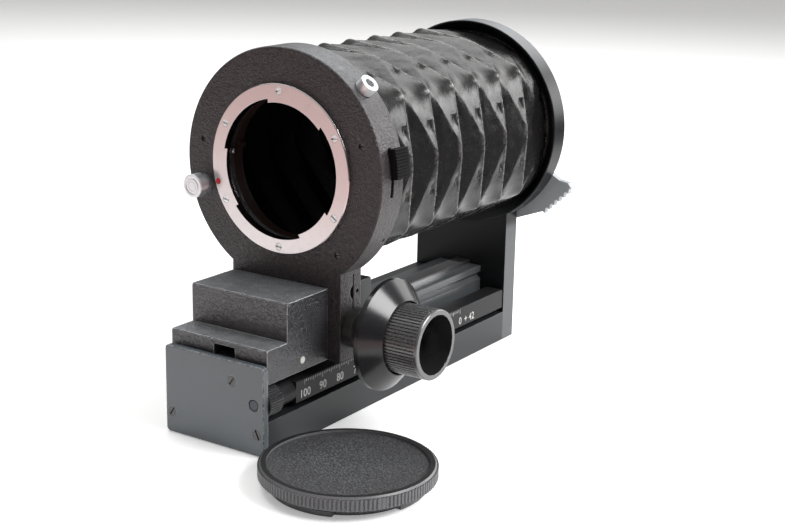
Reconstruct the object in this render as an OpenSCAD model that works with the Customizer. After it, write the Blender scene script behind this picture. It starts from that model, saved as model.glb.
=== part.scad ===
// Macro bellows unit: a base rail with a rack, a lens standard that a knob drives
// along it, a folding light-tight bellows and a rear standard with a camera mount.
// Millimetres, +Z up. Y runs along the rail, from the lens end (Y = 0) to the camera.
// The origin is on the table, under the middle of the end plate's front face.

/* [Base] */
// width of the base channel, end plate and rear upright
base_width = 42.5; // [38:0.5:48]
// length of the base, from the end plate's face to the upright's back
base_length = 164.4; // [150:0.2:190]
// height of the end plate
plate_height = 31; // [28:0.5:36]
// thickness of the end plate
plate_thick = 2.4; // [1.6:0.2:4]
// thickness of the channel's floor
floor_thick = 4; // [3:0.5:6]
// thickness of the channel's two side walls
wall_thick = 4.5; // [4:0.25:5]
// height of the low wall on the scale side
low_wall = 11.8; // [9:0.1:11.9]
// height of the high wall on the plain side
high_wall = 26; // [20:0.5:26]

/* [Rail and rack] */
// width of the guide rail
rail_width = 20; // [17:0.5:20.5]
// height of the guide rail's top above the table
rail_top = 29.8; // [28:0.1:30]
// height of the V grooves' middle
groove_height = 25.7; // [25:0.1:26]
// depth of each V groove
groove_depth = 1.8; // [1:0.1:2.2]
// sideways place of the rack on the rail
rack_x = 1.5; // [-2:0.1:2]
// width of the rack and of the pinion that runs on it
rack_width = 6.4; // [5:0.2:8]
// height of the rack's tooth tips
rack_top = 31.5; // [31:0.1:32]
// tooth size, as a gear module
gear_module = 0.4; // [0.4:0.05:0.5]
// number of teeth on the pinion
pinion_teeth = 18; // [16:1:20]

/* [Scale bar] */
// distance of the scale bar's axis from the base's side
bar_inset = 4.15; // [3.9:0.05:4.4]
// height of the scale bar's axis
bar_z = 17.5; // [17.4:0.1:17.8]
// width across the flats of the square scale bar
bar_side = 7.8; // [6:0.1:7.9]
// radius of the knurled knob at the bar's near end
bar_knob_radius = 5.3; // [5:0.1:6.1]
// where the square part of the bar starts
bar_start = 17.7; // [14:0.1:24]

/* [Carriage] */
// how far the block's left side lies inside the base's
block_left_inset = 0.25; // [0:0.05:2]
// how far the block's right side lies inside the base's
block_right_inset = 1.15; // [0:0.05:2]
// front face of the carriage block
block_front = 3.4; // [3:0.1:5]
// where the block's upper step starts
step_front = 14; // [10:0.5:20]
// height of the block's lower step
step_low = 35.8; // [35:0.1:38]
// height of the block's upper step
step_high = 49.3; // [44:0.1:50]
// underside of the carriage on the scale side
carriage_under = 24; // [23.9:0.1:24.4]

/* [Lens standard] */
// height of the optical axis above the table
axis_z = 88; // [84:0.5:95]
// radius of the lens standard's disc
disc_radius = 41.6; // [40:0.2:45]
// front face of the disc
disc_front = 36.4; // [34:0.2:38]
// thickness of the disc
disc_thick = 12.7; // [12:0.1:14]
// how far the pedestal's left side stands out of the base's
pedestal_left_out = 0.35; // [-1:0.05:2]
// how far the pedestal's right side stands out of the base's
pedestal_right_out = 4.15; // [3:0.05:5]
// thickness of the pedestal, front to back
pedestal_thick = 11.8; // [11.4:0.1:12.2]

/* [Lens mount] */
// how far the bright mount ring's edge lies inside the disc's
mount_inset = 12.25; // [11.8:0.05:12.6]
// width of the mount ring's face, from its edge to the throat
mount_face = 5.15; // [4.8:0.05:5.6]
// how far the claws reach into the throat
claw_reach = 1.3; // [1:0.1:2]
// how far the mount ring stands out of the disc
mount_proud = 1.4; // [0.5:0.1:2]
// how far the circle of mount screws lies inside the mount ring's edge
screw_inset = 2.45; // [2.2:0.05:2.8]

/* [Focusing knob] */
// radius of the ribbed knob
knob_radius = 12.05; // [10:0.05:12.2]
// outer end of the ribbed knob
knob_end = 58.6; // [54:0.2:64]
// radius of the hollow in the knob
knob_bore = 10.3; // [9:0.1:10.5]
// number of ribs round the knob
knob_ribs = 64; // [48:1:72]
// largest radius of the conical clamp ring
cone_radius = 19.3; // [16:0.1:20]
// small radius at the mouth of the clamp ring
cone_mouth = 13; // [12.9:0.1:14]
// inner face of the clamp ring
cone_start = 38.3; // [36:0.1:39]
// length of the clamp ring
cone_length = 7.65; // [6:0.05:9]
// radius of the shaft
shaft_radius = 2.5; // [2:0.1:2.8]
// radius of the bearing boss on the pedestal
boss_radius = 7.2; // [6:0.1:8]

/* [Bellows] */
// how far the pleat ridges lie inside the disc's edge
ridge_inset = 5.1; // [4.6:0.1:6]
// how far the single corners of a ridge stand out beyond its short edges
corner_rise = 4.2; // [2:0.1:4.3]
// depth of the valley folds below the short edges
valley_depth = 2.6; // [2:0.1:3]
// number of pleated bands
bellows_bands = 7; // [5:1:9]
// thickness of the bellows cloth
cloth_thick = 0.5; // [0.4:0.1:0.8]

/* [Rear standard] */
// how much smaller the rear cup ring's radius is than the disc's
cup_inset = 0.6; // [0:0.1:1]
// thickness of the upright
upright_thick = 8.4; // [7:0.2:8.4]
// how far the camera flange stands out of the upright's collar
flange_reach = 8.8; // [8:0.1:10]

/* [Cap] */
// radius of the cap
cap_radius = 28.5; // [27:0.1:30]
// height of the cap
cap_height = 7.8; // [6:0.1:9]
// number of ribs round the cap
cap_ribs = 132; // [90:3:150]

/* [Hidden] */
$fn = 96;
play = 0.06;         // running fit on a radius
slip = 0.15;         // sliding gap between flat faces
half_width = base_width / 2;
mount_radius = disc_radius - mount_inset;
throat_radius = mount_radius - mount_face;
claw_radius = throat_radius - claw_reach;
screw_circle = mount_radius - screw_inset;
ridge_radius = disc_radius - ridge_inset;
valley_radius = ridge_radius - valley_depth;
cup_radius = disc_radius - cup_inset;
bar_x = half_width - bar_inset;
block_left = half_width - block_left_inset;
block_right = half_width - block_right_inset;
pedestal_left = half_width + pedestal_left_out;
pedestal_right = half_width + pedestal_right_out;
corner_screw_x = half_width - 2.75;
upright_front = base_length - upright_thick;
rail_half = rail_width / 2;
pitch = PI * gear_module;
pitch_line = rack_top - gear_module;
pinion_pitch_radius = gear_module * pinion_teeth / 2;
tooth_depth = 2.25 * gear_module;
shaft_y = 44.8;
shaft_z = pitch_line + pinion_pitch_radius;
rack_left = rack_x - rack_width / 2;
rack_right = rack_x + rack_width / 2;
rack_start = 30;
disc_back = disc_front + disc_thick;
pedestal_back = disc_front + pedestal_thick;
mount_front = disc_front - mount_proud;
mount_back = mount_front + 3.4;
web_back = mount_back + 2.8;
cup_front = upright_front + 0.4;
cup_floor = cup_front + 3.8;
cup_back = cup_front + 8.6;
collar_back = cup_back + 3.2;
camera_flange = collar_back + flange_reach;
bellows_front = disc_front + 10.6;
bellows_back = cup_floor - 0.85;
band = (bellows_back - bellows_front) / bellows_bands;
jaw_gap = rail_half + slip;
inner_wall = half_width - wall_thick;
bush_radius = 4.4;
ring_chamber = throat_radius + 3.2;
baffle_radius = throat_radius + 6.8;
frame_bore = ridge_radius - 3.3;
button_x = 7.6 - disc_radius;
button_z = axis_z - 9.4;
button_press = 1.2;
button_neck = 3.5;
lock_angle = 173;
pin_angle = 168.5;
dot_angle = 195.6;
lever_angle = 8.2;
lock_length = -button_x - 2.4 - throat_radius + 1;
lock_y = mount_back + 1.5;
socket_angle = 45;
socket_y = disc_front + 6.4;
rim_screw_y = disc_front + 9.8;
cap_x = 55.2;

// ---- helpers ----

// puts a shape that stands on local Z along the world's Y axis
module along_y(x, y, z) {
    translate([x, y, z]) rotate([-90, 0, 0]) children();
}

// puts a shape that stands on local Z along the world's X axis
module along_x(x, y, z) {
    translate([x, y, z]) rotate([0, 90, 0]) children();
}

// extrudes an X-Z outline from y0 to y1
module slab_y(y0, y1) {
    translate([0, y1, 0]) rotate([90, 0, 0]) linear_extrude(height = y1 - y0) children();
}

// extrudes a Y-Z outline from x0 to x1
module slab_x(x0, x1) {
    translate([x0, 0, 0]) rotate([90, 0, 90]) linear_extrude(height = x1 - x0) children();
}

// revolves an outline of [radius, y] points about the optical axis
module lathe_y() {
    translate([0, 0, axis_z]) rotate([-90, 0, 0]) rotate_extrude() children();
}

// revolves an outline of [radius, x] points about the knob's shaft
module lathe_x() {
    translate([0, shaft_y, shaft_z]) rotate([0, 90, 0]) rotate_extrude() children();
}

// turns a child about the optical axis, from +X towards +Z
module at_angle(a) {
    translate([0, 0, axis_z]) rotate([0, -a, 0]) children();
}

// box between two corners
module block(a, b) {
    translate(a) cube(b - a);
}

// countersunk screw along +Y from its head's face, with an optional slot
module screw_y(x, y, z, head, shank, length, slot_turn = 0, slotted = true) {
    translate([x, y, z]) rotate([0, slot_turn, 0]) difference() {
        rotate([-90, 0, 0]) rotate_extrude()
            polygon([[0, 0], [head, 0], [head, 0.25], [shank, head - shank + 0.25],
                     [shank, length], [0, length]]);
        if (slotted) block([-head - 1, -1, -0.3], [head + 1, 0.6, 0.3]);
    }
}

// the hole that such a screw sits in
module screw_seat_y(x, y, z, head, shank, length) {
    along_y(x, y, z) rotate_extrude()
        polygon([[0, -1], [head, -1], [head, 0.25], [shank, head - shank + 0.25],
                 [shank, length], [0, length]]);
}

// outline with many equal ribs: four points a rib
function rib_points(n, top, root, land) = [
    for (i = [0 : n - 1], j = [0 : 3])
        let (a = 360 / n * (i + [-land / 2, land / 2, land / 2 + (1 - land) * 0.35,
                                 1 - land / 2 - (1 - land) * 0.35][j]),
             r = j < 2 ? top : root)
            [r * cos(a), r * sin(a)]];

// ---- base ----

module base_channel() color("#4b4f54") difference() {
    union() {
        block([-half_width, plate_thick, 0], [half_width, upright_front, floor_thick]);
        block([-half_width, plate_thick, 0], [-inner_wall, upright_front, high_wall]);
        block([inner_wall, plate_thick, 0], [half_width, upright_front, low_wall]);
    }
    // hollow that frees the knurled knob from the low wall
    along_y(bar_x, plate_thick - 1, bar_z) cylinder(r = bar_knob_radius + 0.6, h = 10);
    for (x = [-1, 1] * corner_screw_x) screw_seat_y(x, 0, 7.5, 1.82, 1.12, 10);
    translate([0, 70, -1]) cylinder(r = 6, h = 12);
    translate([0, 96, -1]) cylinder(r = 7.5, h = 12);
}

function rail_outline() = [
    [-rail_half, floor_thick], [rail_half, floor_thick],
    [rail_half, groove_height - 1.5], [rail_half - groove_depth, groove_height],
    [rail_half, groove_height + 1.5], [rail_half, rail_top - 0.4], [rail_half - 0.4, rail_top],
    [0.4 - rail_half, rail_top], [-rail_half, rail_top - 0.4], [-rail_half, groove_height + 1.5],
    [groove_depth - rail_half, groove_height], [-rail_half, groove_height - 1.5]];

module guide_rail() color("#54585d") difference() {
    slab_y(plate_thick, upright_front) polygon(rail_outline());
    // seat of the rack
    block([rack_left, rack_start, rail_top - 2],
          [rack_right, upright_front + 1, rail_top + 1]);
    translate([0, 70, 3]) cylinder(r = 6, h = 7);
    translate([0, 96, 3]) cylinder(r = 7.5, h = 7);
    screw_seat_y(rail_half - 2.1, 0, 24, 1.82, 1.12, 10);
    for (p = [[-5, 11], [5, 19]])
        along_y(p[0], upright_front - 9, p[1]) cylinder(r = 1.5, h = 10);
}

// one rack tooth: [y, z] points over one pitch, from gap to gap
function rack_tooth(c) =
    let (t = tan(20), h = pitch / 4 - 0.03, m = gear_module)
        [[c - h - 1.25 * m * t, rack_top - tooth_depth], [c - h + m * t, rack_top],
         [c + h - m * t, rack_top], [c + h + 1.25 * m * t, rack_top - tooth_depth]];

rack_reach = floor((upright_front - 6 - shaft_y) / pitch);

module rack_strip() color("#6b6f73") slab_x(rack_left, rack_right)
    polygon(concat(
        [[rack_start, rail_top - 2], [rack_start, rack_top]],
        [[shaft_y - 2.5 * pitch, rack_top], [shaft_y - 2.5 * pitch, rack_top - tooth_depth]],
        [for (i = [-2 : rack_reach]) each rack_tooth(shaft_y + i * pitch)],
        [[shaft_y + (rack_reach + 0.5) * pitch, rack_top - tooth_depth],
         [shaft_y + (rack_reach + 0.5) * pitch, rack_top],
         [upright_front, rack_top], [upright_front, rail_top - 2]]));

module rounded_rect(w, h, r) {
    translate([-w / 2, r]) square([w, h - 2 * r]);
    translate([r - w / 2, 0]) square([w - 2 * r, h]);
    for (x = [-1, 1], z = [r, h - r]) translate([x * (w / 2 - r), z]) circle(r = r);
}

module end_plate() color("#55595f") difference() {
    union() {
        slab_y(0.3, plate_thick) rounded_rect(base_width, plate_height, 1.4);
        slab_y(0, 0.3) translate([0, 0.25]) rounded_rect(base_width - 0.5, plate_height - 0.5, 1.2);
    }
    for (x = [-1, 1] * corner_screw_x) screw_seat_y(x, 0, 7.5, 1.82, 1.12, 10);
    screw_seat_y(rail_half - 2.1, 0, 24, 1.82, 1.12, 10);
    along_y(bar_x, -1, bar_z) cylinder(r = 2 + play, h = plate_thick + 2);
}

module end_plate_screws() color("#44474b") {
    screw_y(-corner_screw_x, 0.02, 7.5, 1.8, 1.1, 8, -55);
    screw_y(corner_screw_x, 0.02, 7.5, 1.8, 1.1, 8, 64);
    screw_y(rail_half - 2.1, 0.02, 24, 1.8, 1.1, 8, -54);
}

module bush(y, r, hole) color("#b9a26a") difference() {
    translate([0, y, 0.2]) cylinder(r = r, h = 8.8);
    translate([0, y, -1]) cylinder(r = hole, h = 9);
}

module tripod_bush_small() bush(70, 6, 3.175);

module tripod_bush_large() bush(96, 7.5, 4.7625);

// ---- scale bar ----

module scale_bar() color("#50524f") union() {
    slab_y(bar_start, upright_front - 0.5) translate([bar_x, bar_z]) intersection() {
        square(bar_side, center = true);
        circle(r = bar_side * 0.68);
    }
    along_y(bar_x, 10.8, bar_z) cylinder(r = 4, h = bar_start - 10.8);
    along_y(bar_x, 0.1, bar_z) cylinder(r = 2, h = bar_start);
    along_y(bar_x, upright_front - 0.5, bar_z) cylinder(r = 1.5, h = 3.5);
}

module scale_knob() color("#2a2b2d") difference() {
    union() {
        translate([0, 2.7, 0]) slab_y(0, 6.5) translate([bar_x, bar_z])
            polygon(rib_points(34, bar_knob_radius, bar_knob_radius - 0.35, 0.4));
        along_y(bar_x, 9.2, bar_z) cylinder(r1 = bar_knob_radius - 0.1, r2 = 4.2, h = 1.5);
    }
    along_y(bar_x, 0, bar_z) cylinder(r = 2, h = 20);
}

// ---- carriage ----

// everything under the carriage that must stay free for the rail, the rack and the walls
module rail_tunnel(y0, y1) {
    block([-jaw_gap, y0, 0], [jaw_gap, y1, rail_top + slip]);
    block([rack_left - 0.8, y0, rail_top - 2], [rack_right + 1.9, y1, rack_top + 2.7]);
    block([-60, y0, 0], [-inner_wall + 0.3, y1, high_wall + 0.6]);
    for (s = [-1, 1]) block([s < 0 ? -jaw_gap - 2.4 : jaw_gap - 1, y0, groove_height - 1.1],
                            [s < 0 ? 1 - jaw_gap : jaw_gap + 2.4, y1, groove_height + 1.1]);
}

module carriage_block() color("#2b2a2c") difference() {
    slab_x(-block_left, block_right) polygon([
        [block_front, carriage_under], [disc_front, carriage_under], [disc_front, step_high],
        [step_front + 0.5, step_high], [step_front, step_high - 0.5], [step_front, step_low],
        [block_front + 0.5, step_low], [block_front, step_low - 0.5]]);
    rail_tunnel(0, 60);
    along_x(block_right - 1.5, bar_start + 4.7, 27.7) cylinder(r = 1.2, h = 3);
}

module index_dot() color("#e8e8e4")
    along_x(block_right - 1.5, bar_start + 4.7, 27.7) cylinder(r = 1.2, h = 1.55);

// a jaw's V tongue: s is the side
module gib(s) color("#a08a55") slab_y(block_front + 2.6, pedestal_back - 2)
    polygon([[s * (jaw_gap + 2.4), groove_height - 1.1], [s * (jaw_gap + 2.4), groove_height + 1.1],
             [s * (rail_half - 0.1), groove_height + 1.1],
             [s * (rail_half - groove_depth + 0.35), groove_height],
             [s * (rail_half - 0.1), groove_height - 1.1]]);

module gib_left() gib(-1);

module gib_right() gib(1);

// ---- lens standard ----

module lens_standard() color("#2d2b2d") difference() {
    union() {
        lathe_y() polygon([[0, disc_front], [disc_radius - 0.4, disc_front],
            [disc_radius, disc_front + 0.4], [disc_radius, disc_back - 0.4],
            [disc_radius - 0.4, disc_back], [0, disc_back]]);
        block([-pedestal_left, disc_front, carriage_under],
              [pedestal_right, pedestal_back, axis_z - 30]);
    }
    rail_tunnel(30, 60);
    // seat of the mount ring, the web behind it and the stop-down ring's chamber
    lathe_y() polygon([[0, disc_front - 1], [mount_radius, disc_front - 1],
        [mount_radius, mount_back], [throat_radius + 1.4, mount_back],
        [throat_radius + 1.4, mount_back + 0.35], [throat_radius + 0.6, mount_back + 0.35],
        [throat_radius + 0.6, web_back], [ring_chamber, web_back],
        [ring_chamber, web_back + 4.8], [baffle_radius, web_back + 4.8],
        [baffle_radius, disc_back + 1], [0, disc_back + 1]]);
    // seat of the bellows' front frame
    lathe_y() polygon([[frame_bore, bellows_front - 1],
        [disc_radius - 3, bellows_front - 1], [disc_radius - 3, disc_back + 1],
        [frame_bore, disc_back + 1]]);
    for (k = [0 : 5]) at_angle(30 + 60 * k) along_y(screw_circle, mount_back - 1, 0)
        cylinder(r = 0.9, h = 3.4);
    // release button: head, spring and stem
    along_y(button_x, disc_front - 1, button_z) cylinder(r = button_neck + slip, h = 2.6);
    along_y(button_x, disc_front, button_z) cylinder(r = 2.9, h = 5.6);
    along_y(button_x, disc_front, button_z) cylinder(r = 1.6 + play, h = 12);
    along_y(button_x, disc_front + 7, button_z) cylinder(r = 3, h = 6);
    // radial hole of the lock pin
    at_angle(lock_angle) along_x(20, lock_y, 0)
        cylinder(r = 1.1 + play, h = -button_x - 20.6);
    // slot that the stop-down lever moves in
    stopdown_slot();
    // cable socket and small screws
    at_angle(socket_angle) along_x(disc_radius - 4.8, socket_y, 0) cylinder(r = 2, h = 8);
    for (p = ring_screw_places) along_y(p[0], disc_front - 1, axis_z + p[1])
        cylinder(r = 1.15, h = 4.6);
    at_angle(-31) along_x(disc_radius - 2.3, rim_screw_y, 0) cylinder(r = 0.8, h = 4);
    // pinion chamber, shaft bearing and bush
    block([rack_left - 0.6, shaft_y - 4.6, 28], [rack_right + 0.6, 60, shaft_z + 4.7]);
    along_x(-8, shaft_y, shaft_z) cylinder(r = shaft_radius + play, h = 8);
    along_x(rack_right, shaft_y, shaft_z) cylinder(r = bush_radius, h = 30);
    // clamping slit over the boss, and its relief
    block([9, 43.3, shaft_z + 3], [pedestal_right + 1, 44.1, 53.6]);
    intersection() {
        along_x(19, 44.6, 47.4) cylinder(r = 2.7, h = 10);
        block([18, 40, 40], [30, 43.6, 54]);
    }
    along_x(pedestal_right - 4, 46.1, 47.2) cylinder(r = 0.9, h = 6);
    // screws that hold the gear cover
    for (p = cover_screw_places)
        along_y(p[0], pedestal_back - 3, p[1]) cylinder(r = 1.2, h = 4);
}

// places of the three ring screws: how far inside the rim, and the angle
ring_screw_places = [for (p = [[6.5, 19.5], [6, -48.4], [6.6, 169.1]])
    (disc_radius - p[0]) * [cos(p[1]), sin(p[1])]];
cover_screw_places = [[-10, 44], [20, 27.4]];

// the slot: a fan of three overlapping boxes cut by a ring
module stopdown_slot() intersection() {
    lathe_y() polygon([[throat_radius + 1.8, disc_front + 5.2], [disc_radius + 2, disc_front + 5.2],
        [disc_radius + 2, disc_front + 7], [throat_radius + 1.8, disc_front + 7]]);
    for (a = [-5 : 2.5 : 15]) at_angle(a - 1) block([20, disc_front, -1.2],
                                                     [disc_radius + 8, disc_back, 1.2]);
}

// middle angle of each claw, and half the angle it spans
claw_spans = [[72, 29], [194, 25], [310, 18]];

module lens_mount_ring() color("#c9c7c8") difference() {
    union() {
        lathe_y() polygon([[throat_radius, mount_front], [mount_radius - 0.3, mount_front],
            [mount_radius, mount_front + 0.3], [mount_radius, mount_back],
            [throat_radius, mount_back]]);
        for (c = claw_spans) intersection() {
            lathe_y() polygon([[claw_radius, mount_front], [throat_radius + 1, mount_front],
                [throat_radius + 1, mount_front + 1.6], [claw_radius, mount_front + 1.6]]);
            for (b = [-1 : 0.5 : 1]) at_angle(c[0] + b * (c[1] - 9.7))
                block([15, mount_front - 5, -4], [throat_radius + 2.8, mount_front + 5, 4]);
        }
    }
    for (k = [0 : 5]) at_angle(30 + 60 * k) screw_seat_y(screw_circle, mount_front, 0, 1.3, 0.9, 6);
    at_angle(dot_angle) along_y(mount_radius - 1.55, mount_front - 1, 0) cylinder(r = 1.1, h = 2);
}

module lens_mount_screws() color("#bdbcc0")
    for (k = [0 : 5]) at_angle(30 + 60 * k) screw_y(screw_circle, mount_front + 0.03, 0,
        1.26, 0.88, 5.6, [15, 70, -20, 40, 95, 5][k]);

module mount_dot() color("#c3222b")
    at_angle(dot_angle) along_y(mount_radius - 1.55, mount_front + 0.05, 0) cylinder(r = 1.1, h = 0.95);

module mount_spring_ring() color("#8c8d90") lathe_y()
    polygon([[throat_radius + 0.7, mount_back], [throat_radius + 1.3, mount_back],
             [throat_radius + 1.3, mount_back + 0.3], [throat_radius + 0.7, mount_back + 0.3]]);

module ring_set_screws() color("#3c3d40") for (p = ring_screw_places) difference() {
    along_y(p[0], disc_front + 0.7, axis_z + p[1]) cylinder(r = 1.15, h = 2.9);
    block([p[0] - 2, disc_front, axis_z + p[1] - 0.15],
          [p[0] + 2, disc_front + 1.2, axis_z + p[1] + 0.15]);
}

module rim_screw() color("#3c3d40")
    at_angle(-31) along_x(disc_radius - 2.3, rim_screw_y, 0) cylinder(r = 0.8, h = 1.9);

module cable_socket() color("#c4c6c8") at_angle(socket_angle) difference() {
    union() {
        along_x(disc_radius - 4.6, socket_y, 0) cylinder(r = 2, h = 5);
        along_x(disc_radius + 0.1, socket_y, 0) cylinder(r = 3.3, h = 3.3);
    }
    along_x(disc_radius - 2.6, socket_y, 0) cylinder(r = 1.7, h = 10);
}

module front_baffle() color("#1f1e1e") lathe_y()
    polygon([[throat_radius + 1, web_back + 4.8], [baffle_radius, web_back + 4.8],
             [baffle_radius, web_back + 6.2], [throat_radius + 1.8, web_back + 6.2]]);

module bellows_front_frame() color("#242426") lathe_y()
    polygon([[frame_bore, bellows_front - 1], [disc_radius - 3.2, bellows_front - 1],
             [disc_radius - 3.2, bellows_front], [frame_bore, bellows_front]]);

// ---- gear cover, boss and clamp screw ----

module gear_cover() color("#4d5054") difference() {
    block([-14, pedestal_back, carriage_under], [pedestal_right, pedestal_back + 6, 50.5]);
    rail_tunnel(40, 60);
    block([-20, 40, 0], [-jaw_gap + 1, 60, rail_top + slip]);
    block([rack_left - 0.6, 40, 28], [rack_right + 0.6, pedestal_back + 1.3, shaft_z + 4.7]);
    // room for the shaft's bush and for the disc's lower edge
    along_x(rack_right, shaft_y, shaft_z) cylinder(r = bush_radius + 0.1, h = 30);
    along_y(0, pedestal_back - 1, axis_z)
        cylinder(r = disc_radius + 0.1, h = disc_back - pedestal_back + 1.1);
    for (p = cover_screw_places) translate([p[0], pedestal_back + 6, p[1]]) rotate([0, 0, 180])
        screw_seat_y(0, 0, 0, 2.2, 1.2, 8);
}

module gear_cover_screws() color("#3a3b3e") for (p = cover_screw_places)
    translate([p[0], pedestal_back + 5.98, p[1]]) rotate([0, 0, 180])
        screw_y(0, 0, 0, 2.18, 1.18, 8, 20);

module clamp_screw() color("#3c3d40")
    along_x(pedestal_right - 4, 46.1, 47.2) cylinder(r = 0.9, h = 3.2);

module shaft_boss() color("#232325") difference() {
    union() {
        lathe_x() polygon([[0, pedestal_right], [boss_radius, pedestal_right],
            [boss_radius, pedestal_right + 3.6], [5, pedestal_right + 6],
            [5, cone_start + 2], [0, cone_start + 2]]);
        lathe_x() polygon([[0, rack_right + 1.2], [bush_radius, rack_right + 1.2],
            [bush_radius, pedestal_right], [0, pedestal_right]]);
    }
    along_x(0, shaft_y, shaft_z) cylinder(r = shaft_radius + play, h = 60);
}

// ---- release button and lock pin ----

module release_button() color("#c4c6c8") along_y(button_x, disc_front - 7, button_z) union() {
    cylinder(r = 1.6, h = 15);
    rotate_extrude() polygon([[0, 0], [1.2, 0], [1.2, 0.3], [1.7, 0.3], [1.7, 0], [2.5, 0],
        [2.5, 0.3], [3, 0.3], [3, 0], [3.9, 0], [4.2, 0.3], [4.2, 4.1], [3.9, 4.4],
        [button_neck, 4.4], [button_neck, 7.2], [0, 7.2]]);
}

module release_clip() color("#777a7d") difference() {
    along_y(button_x, disc_front + 7.1, button_z) cylinder(r = 2.8, h = 0.8);
    along_y(button_x, disc_front + 7, button_z) cylinder(r = 1.6, h = 2);
}

// a stack of spring washers round the stem
module release_spring() color("#9a9c9e") along_y(button_x, disc_front + 0.25, button_z)
    rotate_extrude() polygon(concat(
        [for (i = [0 : 8]) [i % 2 == 0 ? 1.75 : 2.3, i * 0.65]],
        [for (i = [8 : -1 : 0]) [i % 2 == 0 ? 2.15 : 2.7, i * 0.65]]));

module lock_pin() color("#b5b7ba") at_angle(lock_angle) along_x(throat_radius - 1, lock_y, 0)
    rotate_extrude() polygon([[0, 0], [0.7, 0], [1.1, 0.4], [1.1, lock_length], [0, lock_length]]);

// ---- stop-down lever ----

module stopdown_ring() color("#5b4a40") union() {
    lathe_y() polygon([[throat_radius + 0.7, web_back + 0.1], [ring_chamber - play, web_back + 0.1],
        [ring_chamber - play, web_back + 4.7], [throat_radius + 0.7, web_back + 4.7]]);
    at_angle(pin_angle) along_x(throat_radius - 1.2, web_back + 3, 0) cylinder(r = 1.1, h = 2.6);
}

module stopdown_lever() color("#1c1c1e") difference() {
    union() {
        intersection() {
            lathe_y() polygon([[disc_radius + 0.15, disc_front + 5], [disc_radius + 3, disc_front + 5],
                [disc_radius + 3, disc_back], [disc_radius + 0.15, disc_back]]);
            at_angle(lever_angle) block([38, disc_front, -5], [60, disc_back + 1, 5]);
        }
        intersection() {
            lathe_y() polygon([[ring_chamber - play, disc_front + 5.3],
                [disc_radius + 1, disc_front + 5.3], [disc_radius + 1, disc_front + 6.9],
                [ring_chamber - play, disc_front + 6.9]]);
            at_angle(lever_angle) block([20, disc_front, -3], [60, disc_back + 1, 3]);
        }
    }
    // finger serrations
    for (i = [-4 : 4]) at_angle(lever_angle + i * 1.35) translate([disc_radius + 3.1, disc_front + 8, 0])
        rotate([0, 45, 0]) block([-0.42, -10, -0.42], [0.42, 10, 0.42]);
}

// ---- drive ----

// half the angle of a pinion tooth at radius r
function tooth_half(r) =
    let (rb = pinion_pitch_radius * cos(20), a = acos(min(1, rb / r)))
        90 / pinion_teeth - 0.5 + (tan(20) - 20 * PI / 180 - tan(a) + a * PI / 180) * 180 / PI;

function pinion_radii() =
    let (rb = pinion_pitch_radius * cos(20), ra = pinion_pitch_radius + gear_module)
        [rb, rb + (ra - rb) * 0.3, rb + (ra - rb) * 0.65, ra];

function pinion_tooth(c) = let (rr = pinion_radii(), rf = pinion_pitch_radius - 1.2 * gear_module)
    concat([[rf * cos(c - tooth_half(rr[0])), rf * sin(c - tooth_half(rr[0]))]],
           [for (r = rr) [r * cos(c - tooth_half(r)), r * sin(c - tooth_half(r))]],
           [for (i = [3 : -1 : 0]) [rr[i] * cos(c + tooth_half(rr[i])),
                                    rr[i] * sin(c + tooth_half(rr[i]))]],
           [[rf * cos(c + tooth_half(rr[0])), rf * sin(c + tooth_half(rr[0]))]]);

module pinion_shaft() color("#8f9194") union() {
    along_x(rack_left, shaft_y, shaft_z) linear_extrude(height = rack_width)
        polygon([for (i = [0 : pinion_teeth - 1]) each pinion_tooth((i + 0.5) * 360 / pinion_teeth)]);
    along_x(-7.6, shaft_y, shaft_z) cylinder(r = shaft_radius, h = cone_start + 5.6 + 7.6);
}

module clamp_ring() color("#1b1b1d") lathe_x()
    polygon([[5 + play, cone_start], [cone_radius - 0.3, cone_start],
        [cone_radius, cone_start + 0.3], [cone_radius, cone_start + 2],
        [cone_mouth, cone_start + cone_length], [cone_mouth - 0.35, cone_start + cone_length],
        [cone_mouth - 0.35, cone_start + 2.4], [5 + play, cone_start + 2.4]]);

module drive_knob() color("#1e1e20") difference() {
    union() {
        along_x(cone_start + 3.6, shaft_y, shaft_z)
            linear_extrude(height = knob_end - 1.3 - cone_start - 3.6)
                polygon(rib_points(knob_ribs, knob_radius, knob_radius - 0.45, 0.5));
        lathe_x() polygon([[0, knob_end - 1.4], [knob_radius - 0.2, knob_end - 1.4],
            [knob_radius, knob_end - 1.2], [knob_radius, knob_end - 0.3],
            [knob_radius - 0.3, knob_end], [0, knob_end]]);
        along_x(cone_start + 2.8, shaft_y, shaft_z) cylinder(r = knob_radius - 1, h = 3);
    }
    along_x(cone_start + 5.6, shaft_y, shaft_z) cylinder(r = knob_bore, h = 30);
    along_x(cone_start, shaft_y, shaft_z) cylinder(r = shaft_radius, h = 10);
}

module knob_screw() color("#7d7f82") difference() {
    along_x(cone_start + 5.6, shaft_y, shaft_z) cylinder(r = 3.6, h = 1.4);
    translate([cone_start + 6.4, shaft_y, shaft_z]) rotate([35, 0, 0])
        block([0, -5, -0.4], [3, 5, 0.4]);
}

// ---- bellows ----

// Each ridge ring is a polygon with five sides. Every side has a short edge (two corners) in
// its middle and meets the next side in a single corner. A band between two rings folds in
// along ten diagonals, each from a single corner of the nearer ring to a short edge of the
// farther one. The two end rings have lower corners, to go into their frames.
sides = 5;
short_half = 3.6;
fold_turn = 3.8;
side_turn = 360 / sides;
valley_turn = (side_turn / 2 + short_half) / 2;

function polar(r, a, y) = [r * cos(a), y, axis_z + r * sin(a)];

function corner_radius(i) =
    ridge_radius + (i == 0 || i == bellows_bands ? 0 : corner_rise);

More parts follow.
